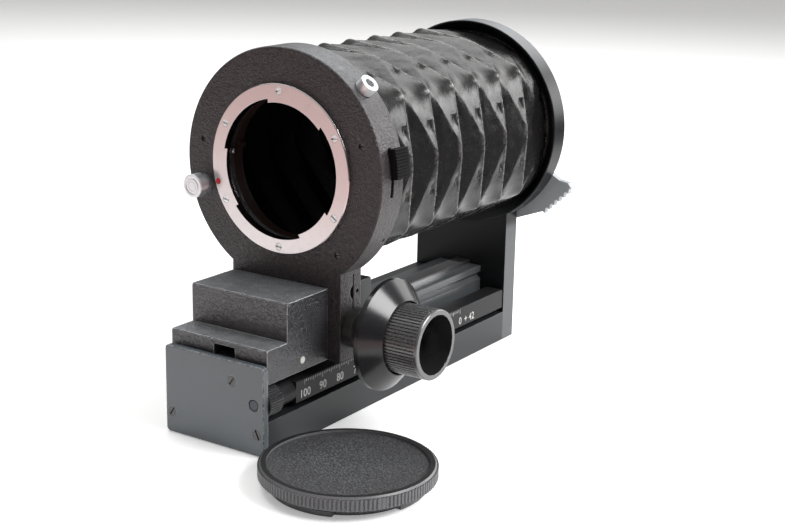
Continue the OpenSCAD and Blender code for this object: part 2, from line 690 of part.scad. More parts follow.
function ridge_points(skin) = [
    for (i = [0 : bellows_bands], k = [0 : sides - 1], j = [0 : 2])
        polar((j < 2 ? ridge_radius - 0.4 : corner_radius(i)) - skin,
              fold_turn + side_turn * k + [-short_half, short_half, side_turn / 2][j],
              bellows_front + i * band)];

function valley_points(skin) = [
    for (i = [0 : bellows_bands - 1], k = [0 : sides - 1], j = [0 : 1])
        polar(valley_radius - skin,
              fold_turn + side_turn * k + (j == 0 ? valley_turn : side_turn - valley_turn),
              bellows_front + (i + 0.5) * band)];

ridge_count = 3 * sides * (bellows_bands + 1);
skin_count = ridge_count + 2 * sides * bellows_bands;

function rp(s, i, j) = s * skin_count + 3 * sides * i + j % (3 * sides);

function vp(s, i, j) = s * skin_count + ridge_count + 2 * sides * i + j % (2 * sides);

// the ten triangles of one side of a band
function one_side(s, i, k) =
    let (q = rp(s, i, 3 * k), p = rp(s, i, 3 * k + 1), a = rp(s, i, 3 * k + 2),
         n = rp(s, i, 3 * k + 3), q2 = rp(s, i + 1, 3 * k), p2 = rp(s, i + 1, 3 * k + 1),
         a2 = rp(s, i + 1, 3 * k + 2), n2 = rp(s, i + 1, 3 * k + 3),
         v = vp(s, i, 2 * k), w = vp(s, i, 2 * k + 1))
        [[q, p, p2], [q, p2, q2], [p, a, v], [p, v, p2], [a, a2, v], [v, a2, p2],
         [a, w, a2], [w, n2, a2], [n, w, a], [n, n2, w]];

function turned(faces) = [for (f = faces) [f[2], f[1], f[0]]];

module bellows() color("#19191b") polyhedron(
    points = concat(ridge_points(0), valley_points(0),
                    ridge_points(cloth_thick), valley_points(cloth_thick)),
    faces = concat(
        [for (i = [0 : bellows_bands - 1], k = [0 : sides - 1]) each one_side(0, i, k)],
        [for (i = [0 : bellows_bands - 1], k = [0 : sides - 1]) each turned(one_side(1, i, k))],
        [for (j = [0 : 3 * sides - 1], h = [0, 1]) h == 0
            ? [rp(0, 0, j + 1), rp(0, 0, j), rp(1, 0, j)]
            : [rp(0, 0, j + 1), rp(1, 0, j), rp(1, 0, j + 1)]],
        [for (j = [0 : 3 * sides - 1], h = [0, 1]) h == 0
            ? [rp(0, bellows_bands, j), rp(0, bellows_bands, j + 1), rp(1, bellows_bands, j)]
            : [rp(1, bellows_bands, j), rp(0, bellows_bands, j + 1), rp(1, bellows_bands, j + 1)]]),
    convexity = 6);

// ---- rear standard ----

module rear_standard() color("#3b3e42") difference() {
    union() {
        block([-half_width, upright_front, 0], [half_width, base_length, axis_z - 30]);
        lathe_y() polygon([[0, cup_front], [cup_radius - 0.2, cup_front],
            [cup_radius, cup_front + 0.2], [cup_radius, cup_back - 0.4],
            [cup_radius - 0.4, cup_back], [collar_radius, cup_back],
            [collar_radius, collar_back], [0, collar_back]]);
    }
    // the dish that the folded bellows goes into, and the bore
    lathe_y() polygon([[0, upright_front - 1], [cup_radius - 0.1, upright_front - 1],
        [cup_radius - 0.7, cup_front], [cup_radius - 4.1, cup_floor],
        [turn_bore, cup_floor], [turn_bore, collar_back + 1], [0, collar_back + 1]]);
    along_y(bar_x, upright_front - 1, bar_z) cylinder(r = 1.5 + play, h = 4.4);
    for (p = [[-5, 11], [5, 19]]) translate([p[0], base_length, p[1]]) rotate([0, 0, 180])
        screw_seat_y(0, 0, 0, 2.8, 1.5, 12);
}

module upright_screws() color("#3a3b3e") for (p = [[-5, 11], [5, 19]])
    translate([p[0], base_length - 0.02, p[1]]) rotate([0, 0, 180])
        screw_y(0, 0, 0, 2.78, 1.48, 16, 30);

module bellows_rear_frame() color("#242426") lathe_y()
    polygon([[frame_bore + 0.2, bellows_back], [cup_radius - 4.2, bellows_back],
             [cup_radius - 4.2, cup_floor], [frame_bore + 0.2, cup_floor]]);

// ---- camera side ----

collar_radius = cup_radius - 8.5;
lever_radius = cup_radius - 4.4;
turn_bore = cup_radius - 10;
lever_front = cup_back + 0.15;
lever_back = lever_front + 2.8;

// a point of the lever's wing, which grows with the lever
function wing(x, z) = [x, z] * lever_radius / 36.6;

// serrated edge of the lever: from the tip to the root, tooth by tooth
function lever_teeth() =
    let (a = wing(44.8, -22.6), b = wing(32.7, -33.8), n = 6, d = (b - a) / n,
         out = [-d[1], d[0]] / norm(d) * -1.1)
        [for (i = [0 : n - 1]) each [a + d * i, a + d * (i + 0.35) + out * 0.2,
                                     a + d * (i + 0.95) - out]];

module camera_lever() color("#3f4246") difference() {
    union() {
        along_y(0, lever_front, axis_z) cylinder(r = lever_radius, h = lever_back - lever_front);
        slab_y(lever_front, lever_back) translate([0, axis_z])
            polygon(concat([for (a = [-74 : 8 : -26]) (lever_radius - 2) * [cos(a), sin(a)]],
                           [wing(39.4, -20.2), wing(43.4, -20.8)], lever_teeth(),
                           [wing(32.7, -33.8), wing(19.3, -38.8)]));
    }
    along_y(0, cup_back - 1, axis_z) cylinder(r = collar_radius + play, h = 6);
}

module camera_turntable() color("#b9b9bb") union() {
    lathe_y() polygon([[turn_bore - 2.8, cup_floor - 0.1], [turn_bore - play, cup_floor - 0.1],
        [turn_bore - play, collar_back + 0.2], [turn_bore + 3.2, collar_back + 0.2],
        [turn_bore + 3.2, camera_flange - 0.3], [turn_bore + 2.9, camera_flange],
        [throat_radius + 1.4, camera_flange], [throat_radius + 1.4, camera_flange - 1],
        [throat_radius - 0.4, camera_flange - 1], [throat_radius - 0.4, camera_flange + 4.2],
        [throat_radius - 2.6, camera_flange + 4.2], [throat_radius - 2.6, collar_back + 2],
        [turn_bore - 2.8, collar_back + 0.2]]);
    // three claws that lock into the camera
    for (a = [20, 140, 260]) intersection() {
        lathe_y() polygon([[throat_radius - 1.2, camera_flange + 2.4],
            [throat_radius + 1, camera_flange + 2.4], [throat_radius + 1, camera_flange + 4.2],
            [throat_radius - 1.2, camera_flange + 4.2]]);
        for (b = [-14, 0, 14]) at_angle(a + b)
            block([18, camera_flange - 9, -6.4], [throat_radius + 3.8, camera_flange + 9, 6.4]);
    }
}

module turntable_retainer() color("#2d2e30") lathe_y()
    polygon([[turn_bore - 2.8, cup_floor - 1], [turn_bore + 1.8, cup_floor - 1],
             [turn_bore + 1.8, cup_floor - 0.1], [turn_bore - 2.8, cup_floor - 0.1]]);

// ---- cap ----

module cap() color("#252527") difference() {
    union() {
        translate([cap_x, 0, 3.6]) linear_extrude(height = cap_height - 4.2)
            polygon(rib_points(cap_ribs, cap_radius, cap_radius - 0.4, 0.45));
        // three smooth places between the ribbed arcs
        translate([cap_x, 0, 3.6]) intersection() {
            cylinder(r = cap_radius - 0.15, h = cap_height - 4.2);
            for (a = [-33, 87, 207]) rotate([0, 0, a])
                block([20, -1.7, -1], [40, 1.7, 10]);
        }
        translate([cap_x, 0, 3.2]) rotate_extrude()
            polygon([[0, 0], [cap_radius - 0.6, 0], [cap_radius - 0.5, 0.5],
                     [cap_radius - 0.5, cap_height - 3.8], [cap_radius - 1, cap_height - 3.2],
                     [0, cap_height - 3.2]]);
        translate([cap_x, 0, 0]) cylinder(r = 23.2, h = 4);
        translate([cap_x, 0, 0]) intersection() {
            cylinder(r = 25, h = 1.6);
            for (a = [-100, 20, 140]) rotate([0, 0, a]) for (b = [-18, 0, 18]) rotate([0, 0, b])
                block([10, -7, -1], [30, 7, 5]);
        }
    }
    translate([cap_x, 0, cap_height - 1]) cylinder(r = cap_radius - 2.7, h = 3);
    translate([cap_x, 0, -1]) cylinder(r = 21, h = 5.8);
}

module cap_disc() color("#303032")
    translate([cap_x, 0, cap_height - 1]) cylinder(r = cap_radius - 2.7, h = 0.25);

base_channel();
guide_rail();
rack_strip();
end_plate();
end_plate_screws();
tripod_bush_small();
tripod_bush_large();
rear_standard();
upright_screws();
bellows_rear_frame();
scale_bar();
scale_knob();
carriage_block();
index_dot();
gib_left();
gib_right();
lens_standard();
lens_mount_ring();
lens_mount_screws();
mount_dot();
mount_spring_ring();
ring_set_screws();
rim_screw();
cable_socket();
front_baffle();
bellows_front_frame();
bellows();
gear_cover();
gear_cover_screws();
clamp_screw();
shaft_boss();
release_button();
release_clip();
release_spring();
lock_pin();
stopdown_ring();
stopdown_lever();
pinion_shaft();
drive_knob();
knob_screw();
clamp_ring();
camera_lever();
camera_turntable();
turntable_retainer();
cap();
cap_disc();
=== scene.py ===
# %% [markdown]
# # A macro bellows unit, dressed for its picture
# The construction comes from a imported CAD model: every plate, ring, screw and gear is
# already there at its real size. This notebook gives the pieces their finishes, folds the
# bellows cloth, engraves the scale, and sets the camera, floor and lights.

# %% Load the frame
import math

import bmesh
import bpy
from mathutils import Matrix, Vector


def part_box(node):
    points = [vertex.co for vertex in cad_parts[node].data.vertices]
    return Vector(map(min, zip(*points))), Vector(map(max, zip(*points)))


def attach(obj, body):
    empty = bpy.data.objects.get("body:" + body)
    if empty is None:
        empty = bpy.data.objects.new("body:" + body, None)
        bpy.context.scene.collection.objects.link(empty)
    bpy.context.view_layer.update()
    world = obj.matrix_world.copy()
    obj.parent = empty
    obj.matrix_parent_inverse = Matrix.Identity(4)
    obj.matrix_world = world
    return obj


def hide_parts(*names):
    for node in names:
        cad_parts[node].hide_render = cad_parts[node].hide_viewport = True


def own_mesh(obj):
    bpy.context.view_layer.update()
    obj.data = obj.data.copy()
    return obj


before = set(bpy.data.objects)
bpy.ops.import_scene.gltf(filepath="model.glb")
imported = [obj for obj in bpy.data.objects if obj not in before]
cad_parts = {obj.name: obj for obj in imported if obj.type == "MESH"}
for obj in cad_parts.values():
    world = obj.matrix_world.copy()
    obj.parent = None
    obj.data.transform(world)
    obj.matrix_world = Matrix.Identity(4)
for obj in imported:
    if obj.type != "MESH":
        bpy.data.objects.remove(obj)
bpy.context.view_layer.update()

# %% [markdown]
# ## Lengths that the finishes and new pieces share
# Everything here is in metres. Places are read from the frame, so that a change of the
# construction moves the dressing with it.

# %% Read the main places from the frame
MM = 0.001
MOUNT_LOW, MOUNT_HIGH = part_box("lens_mount_ring")
AXIS_Z = (MOUNT_LOW.z + MOUNT_HIGH.z) / 2
BAR_LOW, BAR_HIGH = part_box("scale_bar")
BAR_X, BAR_Z = (BAR_LOW.x + BAR_HIGH.x) / 2, (BAR_LOW.z + BAR_HIGH.z) / 2
CAP_LOW, CAP_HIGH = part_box("cap")
CAP_X, CAP_Y = (CAP_LOW.x + CAP_HIGH.x) / 2, (CAP_LOW.y + CAP_HIGH.y) / 2
CLOTH_LOW, CLOTH_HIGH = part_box("bellows")
_, COVER_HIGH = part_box("gear_cover")
KNOB_LOW, KNOB_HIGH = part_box("drive_knob")
SHAFT_Y, SHAFT_Z = (KNOB_LOW.y + KNOB_HIGH.y) / 2, (KNOB_LOW.z + KNOB_HIGH.z) / 2
print(f"optical axis {AXIS_Z / MM:.1f} mm high, cloth from y {CLOTH_LOW.y / MM:.1f} mm")

# %% [markdown]
# ## Camera
# A product picture of a long, low object is taken from in front and a little above, with
# a short telephoto lens so that the two rings keep their proportions. The camera is placed
# by its angles round the object, and its axes are written straight into its matrix.

# %% Place the camera
AZIMUTH, ELEVATION, ROLL = math.radians(33.72), math.radians(15.27), math.radians(1.084)
PICTURE_WIDTH = 785
FOCAL_PIXELS = 1474.5
SENSOR_WIDTH = 36.0
EYE = Vector((304.5, -350.6, 190.3)) * MM


def camera_axes():
    """the camera's right, up and backward directions"""
    back = Vector((math.sin(AZIMUTH) * math.cos(ELEVATION),
                   -math.cos(AZIMUTH) * math.cos(ELEVATION), math.sin(ELEVATION)))
    level_right = (-back).cross(Vector((0, 0, 1))).normalized()
    level_up = level_right.cross(-back)
    right = level_right * math.cos(ROLL) + level_up * math.sin(ROLL)
    return right, back.cross(right), back


camera_data = bpy.data.cameras.new("camera")
camera_data.sensor_width = SENSOR_WIDTH
camera_data.sensor_fit = "HORIZONTAL"
camera_data.lens = FOCAL_PIXELS / PICTURE_WIDTH * SENSOR_WIDTH
camera_data.clip_start, camera_data.clip_end = 0.01, 20
camera = bpy.data.objects.new("camera", camera_data)
turn = Matrix(camera_axes()).transposed().to_4x4()
camera.matrix_world = Matrix.Translation(EYE) @ turn
bpy.context.scene.collection.objects.link(camera)
bpy.context.scene.camera = camera
print(f"lens {camera_data.lens:.1f} mm")

# %% [markdown]
# ## A small language for shader maths
# A finish is a graph of nodes, and graphs are hard to read as lists of links. One class
# wraps a socket and lets it be added, multiplied and subtracted like a number. One method
# makes every other node from its type, its settings and the values of its sockets.

# %% Wrap a socket so that it can be used in expressions


class Value:
    """an output socket that Python can do sums with"""

    def __init__(self, finish, socket):
        self.finish, self.socket = finish, socket

    def maths(self, operation, *terms, clamp=False):
        settings = {"operation": operation, "use_clamp": clamp}
        return self.finish.node("ShaderNodeMath", settings, dict(enumerate(terms)))

    def __add__(self, other):
        return self.maths("ADD", self, other)

    __radd__ = __add__

    def __mul__(self, other):
        return self.maths("MULTIPLY", self, other)

    __rmul__ = __mul__

    def __sub__(self, other):
        return self.maths("SUBTRACT", self, other)

    def __rsub__(self, other):
        return self.maths("SUBTRACT", other, self)

    def __pow__(self, other):
        return self.maths("POWER", self, other)

    def clamped(self):
        return self.maths("ADD", self, 0, clamp=True)

    def positive(self):
        """the size of the number, without its sign"""
        return self.maths("ABSOLUTE", self)

    def step(self, low, high):
        """0 below low, 1 above high, smooth between"""
        settings = {"interpolation_type": "SMOOTHSTEP"}
        inputs = {"Value": self, "From Min": low, "From Max": high}
        return self.finish.node("ShaderNodeMapRange", settings, inputs)


class Finish:
    """one material or one world, built node by node"""

    def __init__(self, name, kind="materials"):
        self.material = getattr(bpy.data, kind).new(name)
        self.material.use_nodes = True
        self.tree = self.material.node_tree
        self.tree.nodes.clear()

    def node(self, kind, settings=None, inputs=None, output=0):
        made = self.tree.nodes.new(kind)
        for name, value in (settings or {}).items():
            setattr(made, name, value)
        for name, value in (inputs or {}).items():
            if isinstance(value, Value):
                self.tree.links.new(value.socket, made.inputs[name])
            elif value is not None:
                made.inputs[name].default_value = value
        return Value(self, made.outputs[output])

    def place(self):
        """the point on the piece, in metres, that a pattern is drawn by"""
        return self.node("ShaderNodeTexCoord", output="Object")

    def parts(self, vector):
        """a vector's x, y and z"""
        split = self.node("ShaderNodeSeparateXYZ", None, {"Vector": vector})
        outputs = split.socket.node.outputs
        return [Value(self, outputs[axis]) for axis in "XYZ"]

    def facing(self):
        """the x, y and z of the direction that the surface faces"""
        return self.parts(self.node("ShaderNodeNewGeometry", output="Normal"))

    def noise(self, size, detail=2.0, rough=0.5, where=None, swirl=0.0):
        """cloudy noise whose lumps are about size metres wide, from 0 to 1"""
        inputs = {"Vector": where or self.place(), "Scale": 1 / size, "Detail": detail,
                  "Roughness": rough, "Distortion": swirl}
        return self.node("ShaderNodeTexNoise", None, inputs)

    def cells(self, size):
        """distance to the nearest of many scattered points, smoothed between them"""
        inputs = {"Vector": self.place(), "Scale": 1 / size}
        return self.node("ShaderNodeTexVoronoi", {"feature": "SMOOTH_F1"}, inputs)

    def mix(self, amount, first, second):
        """a colour between two colours; sockets 6 and 7 of the node take the colours"""
        node = self.tree.nodes.new("ShaderNodeMix")
        node.data_type = "RGBA"
        for index, value in ((0, amount), (6, first), (7, second)):
            if isinstance(value, Value):
                self.tree.links.new(value.socket, node.inputs[index])
            elif index:
                node.inputs[index].default_value = (*value, 1)
            else:
                node.inputs[index].default_value = value
        return Value(self, node.outputs[2])

    def maximum(self, first, second):
        return first.maths("MAXIMUM", first, second)

    def soft_edge(self, radius):
        """the normal with every edge rounded to that radius"""
        return self.node("ShaderNodeBevel", {"samples": 6}, {"Radius": radius})

    def edge_mask(self, rounded):
        """1 at edges and corners, 0 on flat faces"""
        face = self.node("ShaderNodeNewGeometry", output="Normal")
        settings = {"operation": "DOT_PRODUCT"}
        dot = self.node("ShaderNodeVectorMath", settings, {0: rounded, 1: face}, "Value")
        return (1 - dot).step(0.02, 0.22)

    def bump(self, height, depth, normal=None, strength=1.0):
        """the normal tilted by a relief of that depth in metres"""
        inputs = {"Height": height, "Distance": depth, "Strength": strength, "Normal": normal}
        return self.node("ShaderNodeBump", None, inputs)

    def surface(self, **sockets):
        """closes the graph with the shader; a socket's name has _ for each space"""
        named = {name.replace("_", " "): value for name, value in sockets.items()}
        shader = self.node("ShaderNodeBsdfPrincipled", None, named)
        end = self.tree.nodes.new("ShaderNodeOutputMaterial")
        self.tree.links.new(shader.socket, end.inputs["Surface"])
        return self.material


def scaled(colour, times):
    """a colour with each of its numbers multiplied"""
    return tuple(part * times for part in colour)


def paint(material, *nodes):
    """gives CAD nodes their finish"""
    for node in nodes:
        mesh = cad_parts[node].data
        mesh.materials.clear()
        mesh.materials.append(material)


# %% [markdown]
# ## Satin enamel
# The base channel, the end plate and the rear standard are milled from light alloy and
# sprayed with a smooth satin black. Such paint isn't truly black: it is a cold dark grey
# that takes a soft reflection of the floor. A shallow waviness in the bump breaks up the
# reflection, and a rounded normal lets the machined edges catch a thin line of light. The
# edges are also painted paler, partly wear and partly a painted highlight. On the rear
# standard the faces that look up are painted paler, partly dust and partly painted light,
# and its sides that face +X below the cup are painted paler as painted light. The
# serrated lever at the camera's side has the same enamel in a pale grey.

# %% Make the satin enamels
BELOW_CUP = 46 * MM, 50 * MM


def satin_enamel(name, colour, wear_highlight_colour, rough=0.36, ior=1.85, dust_and_painted_light=None, edge=0.35 * MM, wear_highlight_amount=0.5):
    """the grey, if any, painted on the faces that look up, partly dust and partly painted
    light, and on the sides that face +X below the cup, as painted light
    """
    f = Finish(name)
    rounded = f.soft_edge(edge)
    patches = f.noise(7 * MM, 3, 0.6)
    # edge wear and painted highlight: edges take a paler colour, partly worn paint and partly a
    # painted line of light
    wear_highlight = f.edge_mask(rounded) * f.noise(1.6 * MM, 4, 0.65).step(0.35, 0.62) * wear_highlight_amount
    base = f.mix(patches, scaled(colour, 0.88), scaled(colour, 1.1))
    if dust_and_painted_light:
        across, _, up = f.facing()
        _, _, height = f.parts(f.place())
        # painted light: sides facing +X below the cup, towards the right-hand lamps, are
        # painted paler, and so are the tops, partly as dust
        side = across.step(0.8, 0.95) * (1 - height.step(*BELOW_CUP)) * 0.5
        base = f.mix(f.maximum(side, up.step(0.5, 0.95)), base, dust_and_painted_light)
    peel = f.noise(0.9 * MM, 2, 0.4) + f.noise(0.22 * MM, 1, 0.5) * 0.35
    return f.surface(
        Base_Color=f.mix(wear_highlight, base, wear_highlight_colour), Roughness=rough + (patches - 0.5) * 0.08,
        IOR=ior, Normal=f.bump(peel, 0.012 * MM, rounded, 0.5))


# the plate's pale edge colour is partly wear and partly a painted highlight along its top and
# right edges
plate_paint = satin_enamel("plate enamel", (0.066, 0.083, 0.098), (0.62, 0.64, 0.65),
                           edge=0.5 * MM, wear_highlight_amount=0.9)
channel_paint = satin_enamel("channel enamel", (0.018, 0.020, 0.023), (0.2, 0.21, 0.22), 0.33,
                             1.45)
# the last grey is painted on the rear standard's tops and right-facing sides: partly dust,
# partly painted light
standard_paint = satin_enamel("rear standard enamel", (0.009, 0.010, 0.011),
                              (0.2, 0.2, 0.21), 0.32, 1.3, (0.2, 0.21, 0.22))
lever_paint = satin_enamel("lever enamel", (0.40, 0.43, 0.45), (0.5, 0.51, 0.52), 0.4)
paint(plate_paint, "end_plate")
paint(channel_paint, "base_channel", "gear_cover")
paint(lever_paint, "camera_lever")
paint(standard_paint, "rear_standard")
print("satin enamel on the plate, channel, gear cover, lever and rear standard")

# %% [markdown]
# ## Crackle enamel
# The carriage and the lens standard wear a stove enamel that wrinkles as it bakes into
# a fine leather-like grain, which hides fingerprints. The wrinkles are worms: the places
# where a swirled noise is close to its middle value form long winding lines, and the lines
# become raised. Handling polishes the sharp edges until the metal shines through, and
# leaves pale specks; the edges are painted paler still as a painted highlight. The faces
# that look up are painted paler, partly dust and partly painted light.

# %% Make the crackle enamel


def crackle_enamel(name, colour, wear_highlight_colour, wear_highlight_amount, ior, dust_and_top_light):
    """how pale the faces that look up are painted, from 0 to 1: partly dust, partly painted
    light
    """
    f = Finish(name)
    rounded = f.soft_edge(0.55 * MM)
    swirl = f.noise(1.5 * MM, 2, 0.5, swirl=0.6)
    worms = (1 - (swirl - 0.5).positive() * 9).clamped()
    fine = f.noise(0.3 * MM, 2, 0.6)
    height = worms * 0.7 + fine * 0.45
    edges = f.edge_mask(rounded)
    # edge wear and painted highlight: the edges take a pale colour, partly polished metal and
    # partly a painted line of light
    wear_highlight = edges * f.noise(1.1 * MM, 4, 0.7).step(0.25, 0.45) * wear_highlight_amount
    speck = f.noise(0.45 * MM, 2, 0.6).step(0.64, 0.7)
    base = f.mix(worms * 0.7 + fine * 0.3, colour, scaled(colour, 2.2))
    _, _, up = f.facing()
    # the tops are painted paler: partly dust, partly painted light where the lamps fall on them
    dust = up.step(0.5, 0.9) * dust_and_top_light
    cloud = f.noise(4 * MM, 3, 0.7).step(0.3, 0.7) * 0.5 + 0.5
    base = f.mix(dust * cloud, base, (0.17, 0.18, 0.19))
    base = f.mix(speck * (dust + 0.25 + edges * 0.4), base, (0.5, 0.5, 0.5))
    return f.surface(
        Base_Color=f.mix(wear_highlight, base, wear_highlight_colour), Roughness=0.33 + (fine - 0.5) * 0.2 - wear_highlight * 0.1,
        IOR=ior, Normal=f.bump(height, 0.16 * MM, rounded, 0.8))


block_paint = crackle_enamel("block crackle", (0.024, 0.025, 0.028), (0.7, 0.7, 0.71), 1.0,
                             1.8, 0.85)
disc_paint = crackle_enamel("disc crackle", (0.023, 0.019, 0.021), (0.25, 0.24, 0.24), 0.6,
                            1.5, 0.7)
paint(block_paint, "carriage_block")
paint(disc_paint, "lens_standard")
print("crackle enamel on the block and on the lens standard")

# %% [markdown]
# ## Bright mount metal
# Lens mounts are brass, turned on a lathe and plated with hard chrome. The tool leaves
# rings too fine to see, but they draw the highlight out across the face. The rings here
# are a wave of the distance from the optical axis.

# %% Make the turned and plated finishes


def turned_metal(name, colour, rough, centre, across, ring=0.16 * MM, depth=0.002 * MM):
    """metal turned about an axis; across names the two coordinates at right angles to it,
    and centre is the axis's place in them"""
    f = Finish(name)
    parts = f.parts(f.place())
    a, b = (parts["xyz".index(axis)] - middle for axis, middle in zip(across, centre))
    phase = (a * a + b * b) ** 0.5 * (2 * math.pi / ring)
    rings = phase.maths("SINE", phase)
    cloud = f.noise(2.5 * MM, 3, 0.6)
    hair = f.noise(0.12 * MM, 2, 0.6)
    rounded = f.soft_edge(0.15 * MM)
    stain = f.noise(5 * MM, 4, 0.6).step(0.5, 0.8)
    base = f.mix(stain * 0.35, colour, scaled(colour, 0.8))
    return f.surface(
        Base_Color=base, Metallic=1.0,
        Roughness=rough + (cloud - 0.5) * 0.1 + (hair - 0.5) * 0.05,
        Normal=f.bump(rings * 0.5 + hair * 0.6, depth, rounded, 0.6))


mount_metal = turned_metal("mount chrome", (0.62, 0.575, 0.575), 0.2, (0, AXIS_Z), "xz")
BUTTON_LOW, BUTTON_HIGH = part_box("release_button")
button_middle = ((BUTTON_LOW.x + BUTTON_HIGH.x) / 2, (BUTTON_LOW.z + BUTTON_HIGH.z) / 2)
button_metal = turned_metal("button chrome", (0.85, 0.87, 0.89), 0.44, button_middle, "xz",
                            0.4 * MM, 0.006 * MM)
steel = turned_metal("machined steel", (0.45, 0.45, 0.46), 0.34, (SHAFT_Y, SHAFT_Z), "yz")
BUSH_LOW, BUSH_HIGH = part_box("tripod_bush_small")
brass = turned_metal("machined brass", (0.62, 0.47, 0.22), 0.3,
                     (0, (BUSH_LOW.y + BUSH_HIGH.y) / 2), "xy")
paint(mount_metal, "lens_mount_ring", "camera_turntable")
paint(button_metal, "release_button", "cable_socket", "lens_mount_screws")
paint(steel, "pinion_shaft", "knob_screw", "release_clip", "release_spring", "lock_pin",
      "mount_spring_ring", "rack_strip")
paint(brass, "tripod_bush_small", "tripod_bush_large", "gib_left", "gib_right")
print("turned finishes about the optical axis and the shaft")

# %% [markdown]
# ## Black knobs and small parts
# The focusing knob and its conical clamp are turned and enamelled a deeper black, the
# cone glossier than the ribs. The guide rail has running flanks that the jaws keep
# polished, and the screws are blackened steel with bright slots.

# %% Make the remaining metal finishes


def black_part(name, colour, rough, ior, depth=0.008 * MM, wear_highlight_colour=0.12, wear_highlight_amount=0.4,
               edge=0.2 * MM, shaded_bore_radius=0.0, tip=None):
    """the bore radius is that of the knob's bore about its shaft, inside which the knob is
    painted black as painted shade; tip is the colour of the spindle's end in the plate"""
    f = Finish(name)
    rounded = f.soft_edge(edge)
    grit = f.noise(0.35 * MM, 3, 0.6)
    # edge wear and painted highlight: edges and crests take a paler grey, partly wear and
    # partly a painted line of light
    wear_highlight = f.edge_mask(rounded) * f.noise(0.8 * MM, 3, 0.6).step(0.4, 0.6) * wear_highlight_amount
    dust = f.noise(0.5 * MM, 2, 0.7).step(0.66, 0.8) * 0.12
    base = f.mix(dust, colour, tuple(c + 0.12 for c in colour))
    if tip:
        x, y, z = f.parts(f.place())
        x, z = x - BAR_X, z - BAR_Z
        spindle = 1 - ((x * x + z * z) ** 0.5).step(1.55 * MM, 1.7 * MM)
        base = f.mix(spindle * (1 - y.step(0, MM)), base, tip)
    # painted shade: inside the knob's bore the colour turns near black, where shade falls
    if shaded_bore_radius:
        _, y, z = f.parts(f.place())
        y, z = y - SHAFT_Y, z - SHAFT_Z
        bore_shade = 1 - ((y * y + z * z) ** 0.5).step(shaded_bore_radius - 0.3 * MM, shaded_bore_radius)
        base = f.mix(bore_shade, base, (0.001, 0.001, 0.001))
    return f.surface(
        Base_Color=f.mix(wear_highlight, base, (wear_highlight_colour,) * 3), Roughness=rough + (grit - 0.5) * 0.12,
        IOR=ior, Normal=f.bump(grit, depth, rounded, 0.6))


# the pale edge grey of these parts is partly worn edges and partly a painted highlight, palest
# on the ribbed knob's crests
cone_gloss = black_part("cone enamel", (0.012, 0.012, 0.014), 0.2, 1.5, depth=0.002 * MM)
# the ribbed knob's bore is painted black as painted shade
rib_black = black_part("ribbed knob enamel", (0.085, 0.086, 0.09), 0.24, 1.85, wear_highlight_colour=0.9,
                       wear_highlight_amount=1.0, edge=0.14 * MM, shaded_bore_radius=10.5 * MM)
small_knob_black = black_part("small knob enamel", (0.016, 0.016, 0.018), 0.3, 1.6, wear_highlight_colour=0.4,
                              wear_highlight_amount=0.9, edge=0.1 * MM)
lever_black = black_part("lever enamel black", (0.004, 0.004, 0.004), 0.7, 1.25, wear_highlight_colour=0.02)
boss_black = black_part("boss enamel", (0.035, 0.033, 0.032), 0.35, 1.6)
rail_black = black_part("guide rail enamel", (0.07, 0.076, 0.081), 0.3, 1.75)
bar_grey = black_part("scale bar anodising", (0.016, 0.016, 0.017), 0.38, 1.3, wear_highlight_colour=0.3,
                      tip=(0.12, 0.14, 0.16))
screw_black = black_part("blackened steel", (0.035, 0.036, 0.038), 0.32, 1.8, wear_highlight_colour=0.35)
inside_black = black_part("matt inside black", (0.012, 0.012, 0.013), 0.7, 1.35, wear_highlight_amount=0.1)
brown_ring = black_part("bronze brown ring", (0.03, 0.018, 0.014), 0.4, 1.45)
paint(cone_gloss, "clamp_ring")
paint(rib_black, "drive_knob")
paint(small_knob_black, "scale_knob")
paint(lever_black, "stopdown_lever")
paint(boss_black, "shaft_boss")
paint(rail_black, "guide_rail")
paint(bar_grey, "scale_bar")
paint(screw_black, "end_plate_screws", "upright_screws", "gear_cover_screws", "clamp_screw",
      "ring_set_screws", "rim_screw")
paint(inside_black, "front_baffle", "bellows_front_frame", "bellows_rear_frame",
      "turntable_retainer")
paint(brown_ring, "stopdown_ring")

# %% [markdown]
# ## Enamel dots
# A red dot shows where a lens goes in, and a white one is the index for the scale. Both
# are drops of enamel in a drilled pit, glossy and a little uneven.

# %% Make the enamel dots


def enamel_dot(name, colour):
    f = Finish(name)
    cloud = f.noise(0.5 * MM, 3, 0.6)
    base = f.mix(cloud.step(0.55, 0.8) * 0.4, colour, scaled(colour, 0.6))
    return f.surface(Base_Color=base, Roughness=0.25 + cloud * 0.1, IOR=1.5,
                     Normal=f.bump(cloud, 0.03 * MM, f.soft_edge(0.3 * MM)))


paint(enamel_dot("red enamel", (0.62, 0.02, 0.025)), "mount_dot")
paint(enamel_dot("white enamel", (0.82, 0.82, 0.78)), "index_dot")

# %% [markdown]
# ## Cap plastic
# The cap is pressed from black plastic. Its rim and ribs are smooth, and the middle has a
# coarse pebbled texture from the mould, which years of handling have turned grey on the
# high spots.

# %% Make the two cap finishes


def pebbled_plastic(name):
    f = Finish(name)
    pebbles = f.cells(0.9 * MM) + f.noise(0.5 * MM, 3, 0.7) * 0.7
    high = f.noise(0.55 * MM, 3, 0.75).step(0.45, 0.66)
    x, y, _ = f.parts(f.place())
    x, y = x - CAP_X, y - CAP_Y
    handled = 1 - ((x * x + y * y) ** 0.5).step(6 * MM, 27 * MM)
    patch = f.noise(14 * MM, 3, 0.6).step(0.25, 0.75) * 0.4 + handled * 0.5
    base = f.mix(high * (0.3 + patch * 0.5), (0.022, 0.022, 0.024), (0.22, 0.225, 0.23))
    return f.surface(Base_Color=base, Roughness=0.55 + (high - 0.5) * 0.15, IOR=1.5,
                     Normal=f.bump(pebbles, 0.12 * MM, f.soft_edge(0.2 * MM)))


